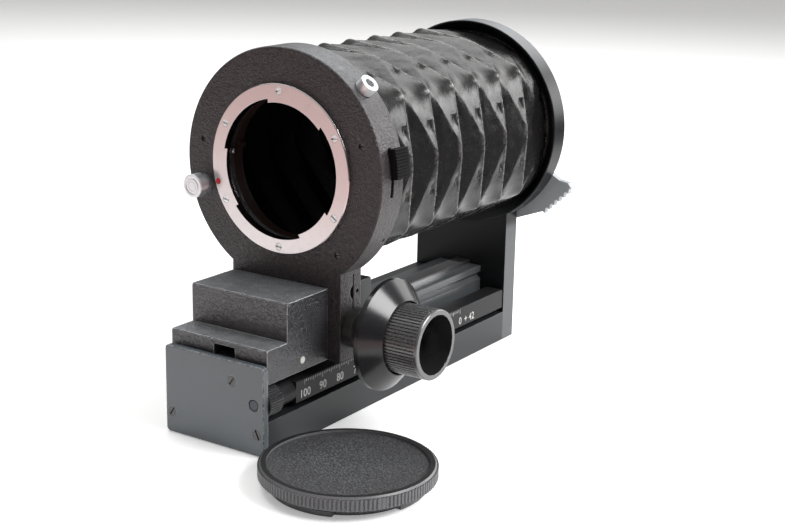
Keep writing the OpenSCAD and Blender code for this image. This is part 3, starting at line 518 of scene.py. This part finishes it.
def smooth_plastic(name):
    """paler on the ribbed rim than on the faces that look up"""
    f = Finish(name)
    rounded = f.soft_edge(0.2 * MM)
    cloud = f.noise(1.4 * MM, 4, 0.65)
    scuff = f.edge_mask(rounded) * f.noise(0.7 * MM, 3, 0.6).step(0.38, 0.6) * 0.6
    _, _, up = f.facing()
    base = f.mix(cloud, (0.10, 0.10, 0.105), (0.16, 0.161, 0.17))
    base = f.mix(up.step(0.8, 0.95), base, (0.012, 0.012, 0.012))
    return f.surface(Base_Color=f.mix(scuff, base, (0.22, 0.22, 0.23)),
                     Roughness=0.4 + (cloud - 0.5) * 0.14, IOR=1.5,
                     Normal=f.bump(cloud, 0.02 * MM, rounded, 0.5))


paint(smooth_plastic("cap plastic"), "cap")
paint(pebbled_plastic("cap pebble plastic"), "cap_disc")

# %% [markdown]
# ## Small tools for new pieces
# Pieces that aren't in the construction are plain meshes with their place in their
# points. A Geometry Nodes tree is laid on one as a modifier, its result is turned into a
# mesh, and the modifier goes.

# %% Helpers for meshes and Geometry Nodes


def mesh_piece(name, points=(), faces=()):
    mesh = bpy.data.meshes.new(name)
    mesh.from_pydata([tuple(point) for point in points], [], faces)
    mesh.validate()
    piece = bpy.data.objects.new(name, mesh)
    bpy.context.scene.collection.objects.link(piece)
    return piece


def baked(piece):
    """the piece with its modifiers worked into its mesh"""
    graph = bpy.context.evaluated_depsgraph_get()
    piece.data = bpy.data.meshes.new_from_object(piece.evaluated_get(graph))
    piece.modifiers.clear()
    return piece


class Recipe:
    """a Geometry Nodes tree with named inputs"""

    def __init__(self, name, **sizes):
        self.tree = bpy.data.node_groups.new(name, "GeometryNodeTree")
        face = self.tree.interface
        face.new_socket("Geometry", in_out="INPUT", socket_type="NodeSocketGeometry")
        face.new_socket("Geometry", in_out="OUTPUT", socket_type="NodeSocketGeometry")
        self.values = {}
        kinds = {int: "NodeSocketInt", float: "NodeSocketFloat"}
        for size, value in sizes.items():
            kind = kinds.get(type(value), "NodeSocketMaterial")
            socket = face.new_socket(size, in_out="INPUT", socket_type=kind)
            self.values[socket.identifier] = value
        self.start = self.tree.nodes.new("NodeGroupInput")

    def node(self, kind, settings=None, inputs=None, output=0):
        made = self.tree.nodes.new(kind)
        for name, value in (settings or {}).items():
            setattr(made, name, value)
        for name, value in (inputs or {}).items():
            if isinstance(value, bpy.types.NodeSocket):
                self.tree.links.new(value, made.inputs[name])
            else:
                made.inputs[name].default_value = value
        return made.outputs[output]

    def maths(self, operation, a, b=0.0):
        return self.node("ShaderNodeMath", {"operation": operation}, {0: a, 1: b})

    def vector(self, **parts):
        """a vector from its X, Y and Z"""
        return self.node("ShaderNodeCombineXYZ", None, parts)

    def parts(self, vector):
        """a vector's x, y and z"""
        split = self.node("ShaderNodeSeparateXYZ", None, {"Vector": vector}).node
        return [split.outputs[axis] for axis in "XYZ"]

    def map(self, value, low, high, to_low=0.0, to_high=1.0):
        """value moved from one range to another, and held inside it"""
        return self.node("ShaderNodeMapRange", None, {
            "Value": value, "From Min": low, "From Max": high,
            "To Min": to_low, "To Max": to_high})

    def whole(self, geometry):
        """instances turned into one mesh"""
        return self.node("GeometryNodeRealizeInstances", None, {"Geometry": geometry})

    def finished(self, geometry):
        """one mesh with the finish that the recipe was given"""
        return self.node("GeometryNodeSetMaterial", None, {
            "Geometry": self.whole(geometry), "Material": self.size("Finish")})

    def size(self, name):
        return self.start.outputs[name]

    def cook(self, piece, result):
        """ends the tree, runs it on the piece and leaves a plain mesh"""
        end = self.tree.nodes.new("NodeGroupOutput")
        self.tree.links.new(result, end.inputs["Geometry"])
        modifier = piece.modifiers.new("recipe", "NODES")
        modifier.node_group = self.tree
        for identifier, value in self.values.items():
            modifier[identifier] = value
        return baked(piece)


# %% [markdown]
# ## The bellows cloth
# The bellows is black rubber-coated cloth with card stiffeners glued inside. Seven bands
# sit between eight ridge rings. Every ring has five long sides, and each side has a short
# flat in its middle, where it bulges past the straight line between its two corners.
# Inside one band and one side the cloth falls behind the near ridge to that straight line,
# and a stiff card climbs from there to the short flat of the next ridge. It is a tapered
# panel that faces a little forwards. The two triangles beside it stay level with the
# ridges, so cards and triangles face different ways: one catches the light while the
# other stays black.
#
# The skin is drawn column by column. Each column has a place on the ring's outline, and
# the share of the pleat where card and triangle meet follows from it. Where the folded
# cloth has nowhere to go it buckles, which leaves a small dent beside each ridge.

# %% Draw the panels of one side of one band
BANDS, SIDES = 7, 5
PLEAT = (CLOTH_HIGH.y - CLOTH_LOW.y) / BANDS
SHORT_RADIUS, CORNER_RADIUS = 36.1 * MM, 40.9 * MM
SHORT_HALF, CORNER_TURN = 3.6, 180 / SIDES      # degrees from the middle of a side
FIRST_TURN = 3.8                                # degrees that the first side is turned by
FLAT_SHARE = 0.1                                # share of the columns' turns on the short flat
CREASE_START, CREASE_END, CREASE_LOWEST = 0.03, 0.97, 0.08
TUCK = 0.06                                     # share of the pleat in which the cloth falls
SHARP_BEND, SOFT_BEND = 2.5 * MM, 9 * MM        # reach of the corners' rounding
CORNER_TRIM = 0.234                             # share of that reach which is cut off
FAN = 14                                        # degrees that relief leans at the corners
# each dent's place towards the corner and along the pleat, its size and its depth
DENTS = (0.4, 0.88, 1.3 * MM, 0.9 * MM), (0.47, 0.15, 1.0 * MM, 0.7 * MM)
BEAD, BEAD_SHARE = 0.15 * MM, 0.02              # the raised line along every ridge
COLUMNS, CARD_ROWS, SIDE_ROWS = 24, 10, 8


def on_ring(radius, degrees):
    """a point round the optical axis"""
    angle = math.radians(degrees)
    return Vector((radius * math.cos(angle), 0, radius * math.sin(angle)))


def crowded(share):
    """moves cuts towards both ends, where the folds are"""
    return share - 0.11 * math.sin(2 * math.pi * share)


def dent(across, along, size, depth):
    """how deep a small round dent is at those distances from its middle"""
    return depth * math.exp(-(across ** 2 + along ** 2) / size ** 2)


def skin_point(turn, share):
    """a point of the skin and its column's crease: turn runs from -1 to 1 between the side's
    two corners, and share from 0 to 1 over the pleat"""
    short, corner = on_ring(SHORT_RADIUS, SHORT_HALF), on_ring(CORNER_RADIUS, CORNER_TURN)
    reach = (corner - short).length
    out = max(0, (abs(turn) - FLAT_SHARE) / (1 - FLAT_SHARE))
    point = short.lerp(corner, out)
    point.z *= math.copysign(min(1, abs(turn) / FLAT_SHARE), turn)
    crease = CREASE_START + (CREASE_END - CREASE_START) * (1 - out)
    bend = SHARP_BEND + (SOFT_BEND - SHARP_BEND) * math.sin(math.pi * share)
    near = max(0, 1 - (1 - out) * reach / bend)
    point -= on_ring(CORNER_TRIM * bend * near ** 2, math.copysign(CORNER_TURN, turn))
    bulge = short.x - corner.x
    sink = bulge * max(0, crease - share) * min(1, share / TUCK)
    for dent_out, dent_share, size, depth in DENTS:
        sink += dent((out - dent_out) * reach, (share - dent_share) * PLEAT, size, depth)
    bead = BEAD * (math.exp(-share / BEAD_SHARE) + math.exp((share - 1) / BEAD_SHARE))
    point = point + Vector((0, share * PLEAT, 0)) + on_ring(1, FAN * turn) * (bead - sink)
    return point, max(crease, CREASE_LOWEST)


def side_of_band():
    """the points and faces of one side of one band, in columns from corner to corner"""
    turns = [side * (FLAT_SHARE + (1 - FLAT_SHARE) * crowded(i / COLUMNS))
             for side in (-1, 1) for i in range(COLUMNS + 1)]
    turns += [-FLAT_SHARE / 2, 0, FLAT_SHARE / 2]
    points, faces = [], []
    for turn in sorted(turns):
        crease = skin_point(turn, 0)[1]
        shares = [0, TUCK / 2]
        shares += [TUCK + (crease - TUCK) * i / (CARD_ROWS - 2) for i in range(CARD_ROWS - 2)]
        shares += [crease + (1 - crease) * crowded(i / SIDE_ROWS) for i in range(SIDE_ROWS + 1)]
        points += [skin_point(turn, share)[0] for share in shares]
    rows = CARD_ROWS + SIDE_ROWS
    for column in range(len(turns) - 1):
        for row in range(rows):
            first = column * (rows + 1) + row
            faces.append((first, first + 1, first + rows + 2, first + rows + 1))
    return points, faces


cloth = mesh_piece("bellows_cloth", *side_of_band())
tidy = bmesh.new()
tidy.from_mesh(cloth.data)
bmesh.ops.remove_doubles(tidy, verts=tidy.verts, dist=0.002 * MM)
bmesh.ops.recalc_face_normals(tidy, faces=tidy.faces)
middle = max(tidy.faces, key=lambda face: face.calc_center_median().x)
if middle.normal.x < 0:
    bmesh.ops.reverse_faces(tidy, faces=tidy.faces)
tidy.to_mesh(cloth.data)
tidy.free()
print(len(cloth.data.polygons), "faces in one side; a pleat is", round(PLEAT / MM, 2), "mm")

# %% [markdown]
# ## Finish of the bellows cloth
# The coating is a thin rubber on a fine weave. It keeps a low shine, so that the panels
# that face a lamp look pale and the others stay black. The ridges are painted paler,
# partly rubbed by years of folding and partly a painted highlight along each fold, and the
# folding has left small creases beside every tuck. The pattern is drawn by a place that
# each point remembers from the stretched bellows, so it stays with the cloth when the
# bellows closes.

# %% Make the coated cloth


def coated_cloth():
    f = Finish("coated bellows cloth")
    where = f.node("ShaderNodeAttribute", {"attribute_name": "cloth_place"}, output="Vector")
    ridge = f.node("ShaderNodeAttribute", {"attribute_name": "ridge"}, output="Fac")
    weave = f.noise(0.34 * MM, 1, 0.4, where)
    creases = f.noise(2.6 * MM, 3, 0.6, where)
    folds = f.noise(6.5 * MM, 2, 0.55, where)
    dust = f.noise(1.2 * MM, 4, 0.75, where).step(0.6, 0.85)
    # painted highlight and wear: the ridges are painted paler, partly rubbed cloth and partly a
    # line of light along each fold
    ridge_wear_highlight = ridge * f.noise(1.4 * MM, 3, 0.7, where).step(0.3, 0.6)
    base = f.mix(dust * 0.2 + folds * 0.15, (0.007, 0.0065, 0.0065), (0.03, 0.028, 0.027))
    height = weave * 0.1 + creases * 0.35 + folds * 0.5
    return f.surface(
        Base_Color=f.mix(ridge_wear_highlight * 0.9, base, (0.26, 0.255, 0.25)), IOR=1.45,
        Roughness=0.26 + (creases - 0.5) * 0.12 + dust * 0.1,
        Normal=f.bump(height, 0.28 * MM, strength=0.8))


cloth_finish = coated_cloth()
lining = black_part("matt bellows lining", (0.010, 0.010, 0.011), 0.9, 1.1, wear_highlight_amount=0.0)

# %% [markdown]
# ## Place the panels round and along the bellows
# Geometry Nodes turn the side to its five places, set the ring of panels in line seven
# times and merge the seams. The end rings shrink to the round frames that hold them.
# Noise then moves the skin a little in and out, least at the ridges, so that no two
# pleats are alike. A Solidify modifier gives the cloth its thickness towards the inside,
# where its lining is a matt black.

# %% Grow the bellows with Geometry Nodes
FRAME_ROOM, CORNER_ROOM, COVER_ROOM = 0.4 * MM, 0.3 * MM, 0.5 * MM
RIDGE_SHARE = 0.045
LUMP = 7 * MM
HAIR = 1e-6                                     # keeps a ridge's points in its own pleat


def to_ends(r, y):
    """the distance along Y to the nearer end of the bellows"""
    return r.maths("MINIMUM", r.maths("SUBTRACT", y, CLOTH_LOW.y),
                   r.maths("SUBTRACT", CLOTH_HIGH.y, y))


def into_frames(r, place):
    """the place, drawn in towards the axis where the radius is too big for the end frames,
    and kept above the gear cover that the closed bellows hangs over"""
    x, y, z = r.parts(place)
    z = r.maths("SUBTRACT", z, AXIS_Z)
    squares = r.maths("ADD", r.maths("MULTIPLY", x, x), r.maths("MULTIPLY", z, z))
    limit = r.map(to_ends(r, y), 0.0, PLEAT, SHORT_RADIUS + FRAME_ROOM,
                  CORNER_RADIUS + CORNER_ROOM)
    shrink = r.maths("MINIMUM", r.maths("DIVIDE", limit, r.maths("SQRT", squares)), 1.0)
    height = r.maths("ADD", r.maths("MULTIPLY", z, shrink), AXIS_Z)
    return r.vector(X=r.maths("MULTIPLY", x, shrink), Y=y,
                    Z=r.maths("MAXIMUM", height, COVER_HIGH.z + COVER_ROOM))


def grow_bellows(piece):
    r = Recipe("bellows_recipe", Pleat=PLEAT, Bands=BANDS, Sides=SIDES,
               Ruffle=0.3 * MM, Finish=cloth_finish)
    index = r.node("GeometryNodeInputIndex")
    round_points = r.node("GeometryNodeMeshLine", None, {
        "Count": r.size("Sides"), "Offset": (0, 0, 0)})
    turn = r.maths("ADD", r.maths("MULTIPLY", index, math.radians(-360 / SIDES)),
                   math.radians(-FIRST_TURN))
    ring = r.node("GeometryNodeInstanceOnPoints", None, {
        "Points": round_points, "Instance": r.start.outputs["Geometry"],
        "Rotation": r.vector(Y=turn)})
    line = r.node("GeometryNodeMeshLine", None, {
        "Count": r.size("Bands"), "Start Location": (0, CLOTH_LOW.y, AXIS_Z),
        "Offset": r.vector(Y=r.size("Pleat"))})
    tube = r.node("GeometryNodeInstanceOnPoints", None, {
        "Points": line, "Instance": r.whole(ring)})
    skin = r.node("GeometryNodeMergeByDistance", None, {
        "Geometry": r.whole(tube), "Distance": 0.01 * MM})
    place = r.node("GeometryNodeInputPosition")
    skin = r.node("GeometryNodeSetPosition", None, {
        "Geometry": skin, "Position": into_frames(r, place)})
    _, y, _ = r.parts(place)
    phase = r.maths("FRACT", r.maths("DIVIDE", r.maths("SUBTRACT", y, CLOTH_LOW.y - HAIR),
                                     r.size("Pleat")))
    from_ridge = r.maths("MINIMUM", phase, r.maths("SUBTRACT", 1.0, phase))
    skin = r.node("GeometryNodeStoreNamedAttribute", {"data_type": "FLOAT"}, {
        "Geometry": skin, "Name": "ridge", "Value": r.map(from_ridge, RIDGE_SHARE, 0.0)})
    skin = r.node("GeometryNodeStoreNamedAttribute", {"data_type": "FLOAT_VECTOR"}, {
        "Geometry": skin, "Name": "cloth_place", "Value": place})
    lumps = r.node("ShaderNodeTexNoise", None, {
        "Vector": place, "Scale": 1 / LUMP, "Detail": 2.0, "Roughness": 0.55})
    calm = r.maths("MULTIPLY", r.map(to_ends(r, y), 0.0, 4 * MM),
                   r.map(from_ridge, 0.0, 0.2, 0.35))
    push = r.maths("MULTIPLY", r.maths("MULTIPLY", r.maths("SUBTRACT", lumps, 0.5), calm),
                   r.maths("MULTIPLY", r.size("Ruffle"), 2.0))
    offset = r.node("ShaderNodeVectorMath", {"operation": "SCALE"}, {
        "Vector": r.node("GeometryNodeInputNormal"), "Scale": push})
    moved = r.node("GeometryNodeSetPosition", None, {"Geometry": skin, "Offset": offset})
    return r.cook(piece, r.finished(moved))


grow_bellows(cloth)
cloth.data.shade_smooth()
cloth.data.set_sharp_from_angle(angle=math.radians(13))
cloth.data.materials.append(lining)
thick = cloth.modifiers.new("thickness", "SOLIDIFY")
thick.thickness, thick.offset, thick.material_offset = 0.5 * MM, -1, 1
baked(cloth)
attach(cloth, "base")
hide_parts("bellows")
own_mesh(cloth)
print(len(cloth.data.polygons), "faces in the whole bellows")

# %% [markdown]
# ## Marks on the scale bar
# The bar is engraved in millimetres and the engraving is filled with white paint. One
# small block is enough for all the lines: Geometry Nodes set it down 101 times and stretch
# it by the number of its place, longest at every ten. The lines hang from the bar's top
# edge.

# %% Cut the millimetre lines
BAR_FACE = BAR_X + 3.9 * MM
LINES_TOP = BAR_Z + 3.45 * MM
LINE_DEPTH = 0.05 * MM
HUNDRED_Y = 22.4 * MM


def white_fill():
    f = Finish("white engraving paint")
    grit = f.noise(0.18 * MM, 3, 0.7)
    white = (0.62, 0.62, 0.6)
    base = f.mix(grit.step(0.52, 0.75), white, scaled(white, 0.55))
    return f.surface(Base_Color=base, Roughness=0.5 + (grit - 0.5) * 0.2, IOR=1.45,
                     Normal=f.bump(grit, 0.01 * MM))


white_paint = white_fill()


def cut_lines():
    r = Recipe("scale_recipe", Lines=101, Pitch=1 * MM, Short=0.95 * MM, Middle=1.55 * MM,
               Long=1.8 * MM, Width=0.17 * MM, Finish=white_paint)
    index = r.node("GeometryNodeInputIndex")

    def every(count):
        """1 at each line whose number divides by count"""
        return r.maths("COMPARE", r.maths("MODULO", index, float(count)), 0.0)

    def blend(mask, off, on):
        """off where the mask is 0, on where it is 1"""
        return r.maths("ADD", off, r.maths("MULTIPLY", mask, r.maths("SUBTRACT", on, off)))

    length = blend(every(10), blend(every(5), r.size("Short"), r.size("Middle")),
                   r.size("Long"))
    line = r.node("GeometryNodeMeshLine", None, {
        "Count": r.size("Lines"), "Offset": r.vector(Y=r.size("Pitch")),
        "Start Location": (BAR_FACE, HUNDRED_Y, LINES_TOP)})
    hung = r.node("GeometryNodeSetPosition", None, {
        "Geometry": line, "Offset": r.vector(Z=r.maths("MULTIPLY", length, -0.5))})
    lines = r.node("GeometryNodeInstanceOnPoints", None, {
        "Points": hung, "Scale": r.vector(X=LINE_DEPTH, Y=r.size("Width"), Z=length),
        "Instance": r.node("GeometryNodeMeshCube", None, {"Size": (1, 1, 1)}, "Mesh")})
    return r.cook(mesh_piece("scale_lines"), r.finished(lines))


lines = cut_lines()
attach(lines, "scale")
print(len(lines.data.polygons) // 6, "lines on the scale")

# %% [markdown]
# ## Numbers on the scale bar
# The numbers stand on the same face, one for each ten millimetres, and the closed length
# is marked after them. Each is a short text that is turned into a thin mesh, and then its
# points are moved to the bar, with the line of text along Y.

# %% Set the numbers
NUMBER_HEIGHT = 3.0 * MM
CAPITAL_SHARE = 0.73                            # a capital's height as a share of the text size
FOOT = BAR_Z - 2.6 * MM
CLOSED_MARK_Y = 129.5 * MM


def number(text, y):
    """a mesh of one number, with its middle at y and its foot at FOOT"""
    curve = bpy.data.curves.new("number", "FONT")
    curve.body, curve.align_x = text, "CENTER"
    curve.size, curve.extrude = NUMBER_HEIGHT / CAPITAL_SHARE, 0.025 * MM
    curve.offset, curve.resolution_u = 0.015 * MM, 3
    loose = bpy.data.objects.new("number", curve)
    bpy.context.scene.collection.objects.link(loose)
    graph = bpy.context.evaluated_depsgraph_get()
    mesh = bpy.data.meshes.new_from_object(loose.evaluated_get(graph))
    bpy.data.objects.remove(loose)
    turn = Matrix(((0, 1, 0), (0, 0, 1), (1, 0, 0))).transposed().to_4x4()
    mesh.transform(Matrix.Translation((BAR_FACE, y, FOOT)) @ turn)
    return mesh


numbers = [number(str(n), HUNDRED_Y + (100 - n + 0.3) * MM) for n in range(0, 101, 10)]
numbers.append(number("+ 42", CLOSED_MARK_Y))
together = bmesh.new()
for mesh in numbers:
    together.from_mesh(mesh)
scale_numbers = mesh_piece("scale_numbers")
together.to_mesh(scale_numbers.data)
together.free()
scale_numbers.data.materials.append(white_paint)
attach(scale_numbers, "scale")
print(len(numbers), "numbers")

# %% [markdown]
# ## Floor
# The unit stands on a sheet of plain white paper that fills the whole view. The paper is
# plain diffuse white, so it keeps the soft shadows, and a little glow that only the camera
# and reflections see lifts it to white. The camera's glow is weaker far back on the left
# and on the right, which paints a soft shade on the far paper. Smooth black paint mirrors
# whatever stands round the paper, and without it the paint would look grey all over. So
# reflections and bounced light meet a dark ground to the right, and a warm brown one in
# front and far left that glows a little in reflections, while the camera sees white paper
# from every side.

# %% Lay the floor
FLOOR_HALF, FLOOR_Z = 4, -0.0002
PAPER_GLOW, WARM_GLOW = 0.2, 0.32
# the floor's directions away from the camera and to its right, counted from the unit's middle
AWAY, ASIDE = Vector((-0.555, 0.832)), Vector((0.832, 0.555))
MIDDLE_AWAY, MIDDLE_ASIDE = 0.066, 0.044
# where the ground turns warm in front and on the left, and where it turns dark on the right
WARM_FRONT, WARM_LEFT, DARK_RIGHT, DARK_SLANT = -0.14, -0.48, 0.25, 0.27
floor = mesh_piece("floor", [(x * FLOOR_HALF, y * FLOOR_HALF, FLOOR_Z) for x, y in
                             ((-1, -1), (1, -1), (1, 1), (-1, 1))], [(0, 1, 2, 3)])


def floor_finish():
    f = Finish("white paper")
    x, y, _ = f.parts(f.place())
    away = x * AWAY.x + y * AWAY.y - MIDDLE_AWAY
    aside = x * ASIDE.x + y * ASIDE.y - MIDDLE_ASIDE
    seen = f.node("ShaderNodeLightPath", output="Is Camera Ray")
    mirrored = f.node("ShaderNodeLightPath", output="Is Glossy Ray")
    cloud = f.noise(0.02, 3, 0.6)
    front, left = (WARM_FRONT - away).step(0.0, 0.03), (WARM_LEFT - aside).step(0.0, 0.06)
    warm = f.maximum(front, left) * (1 - seen)
    dark = (aside - DARK_RIGHT - away * DARK_SLANT).step(0.0, 0.04) * (1 - seen)
    paper = f.mix(cloud * 0.05, (0.9, 0.9, 0.9), (0.86, 0.86, 0.86))
    ground = f.mix(dark, f.mix(warm, paper, (0.62, 0.45, 0.43)), (0.05, 0.05, 0.055))
    diffuse = f.node("ShaderNodeBsdfDiffuse", None, {"Color": ground})
    # painted shade: the camera's glow is weaker far back on the left and on the right
    far_left_shade = (away * 0.9 - aside * 0.3).step(0.25, 1.6) * 0.2
    far_right_shade = (away * 0.8 + aside * 0.6).step(0.25, 1.4) * 0.14
    white = (seen * (0.3 - far_left_shade - far_right_shade) + mirrored * (1 - warm) * PAPER_GLOW).clamped()
    colour = f.mix(warm, (1, 1, 1), (1.0, 0.78, 0.76))
    glow = f.node("ShaderNodeEmission", None, {
        "Color": colour, "Strength": (white + mirrored * warm * WARM_GLOW) * (1 - dark)})
    both = f.node("ShaderNodeAddShader", None, {0: diffuse, 1: glow})
    end = f.tree.nodes.new("ShaderNodeOutputMaterial")
    f.tree.links.new(both.socket, end.inputs["Surface"])
    return f.material


floor.data.materials.append(floor_finish())
print("floor", 2 * FLOOR_HALF, "m wide")

# %% [markdown]
# ## Lights
# A softbox high on the right draws the bright band on the conical clamp. A small upright
# one stands low behind the right side and shines along the bellows, so that the triangles
# beside the cards turn pale. One hangs high on the left, and a wide one behind lights the
# top faces. The room is dim, with a paler sweep behind the unit and overhead.

# %% Hang the softboxes
UNIT_MIDDLE = Vector((0.0, 0.08, 0.07))


def softbox(name, direction, distance, size, power):
    """a rectangular lamp that looks at the middle of the unit from that direction"""
    data = bpy.data.lights.new(name, "AREA")
    data.shape, data.size, data.size_y = "RECTANGLE", *size
    data.energy = power
    lamp = bpy.data.objects.new(name, data)
    place = UNIT_MIDDLE + Vector(direction).normalized() * distance
    aim = (UNIT_MIDDLE - place).to_track_quat("-Z", "Y").to_matrix().to_4x4()
    lamp.matrix_world = Matrix.Translation(place) @ aim
    bpy.context.scene.collection.objects.link(lamp)


softbox("right softbox", (0.78, 0.13, 0.62), 0.9, (0.5, 0.36), 8.0)
softbox("left softbox", (-0.5, 0.2, 0.8), 1.1, (0.7, 0.7), 6.0)
softbox("back softbox", (-0.1, 0.82, 0.62), 1.1, (1.0, 0.45), 2.8)
softbox("tall softbox", (0.40, 0.56, 0.14), 0.72, (0.24, 0.26), 1.15)


def dark_room():
    """a dim studio that is brightest overhead, and that the camera sees as white"""
    f = Finish("studio", "worlds")
    x, y, z = f.parts(f.node("ShaderNodeTexCoord", output="Generated"))
    sweep = y.step(0.7, 0.85) * z.step(0.0, 0.15) * (1 - z.step(0.4, 0.6)) * x.step(-0.2, 0.1)
    strength = 0.08 + z.step(0.2, 0.35) * 0.17 + z.step(0.6, 0.8) * 0.4 + sweep * 2.6
    seen = f.node("ShaderNodeLightPath", output="Is Camera Ray")
    strength = strength * (1 - seen) + seen * 0.95
    room = f.node("ShaderNodeBackground", None, {"Color": (1, 0.99, 0.98, 1),
                                                "Strength": strength})
    end = f.tree.nodes.new("ShaderNodeOutputWorld")
    f.tree.links.new(room.socket, end.inputs["Surface"])
    return f.material


bpy.context.scene.world = dark_room()
bpy.context.scene.view_settings.view_transform = "Standard"
print(len(bpy.data.lights), "softboxes and a dim room")
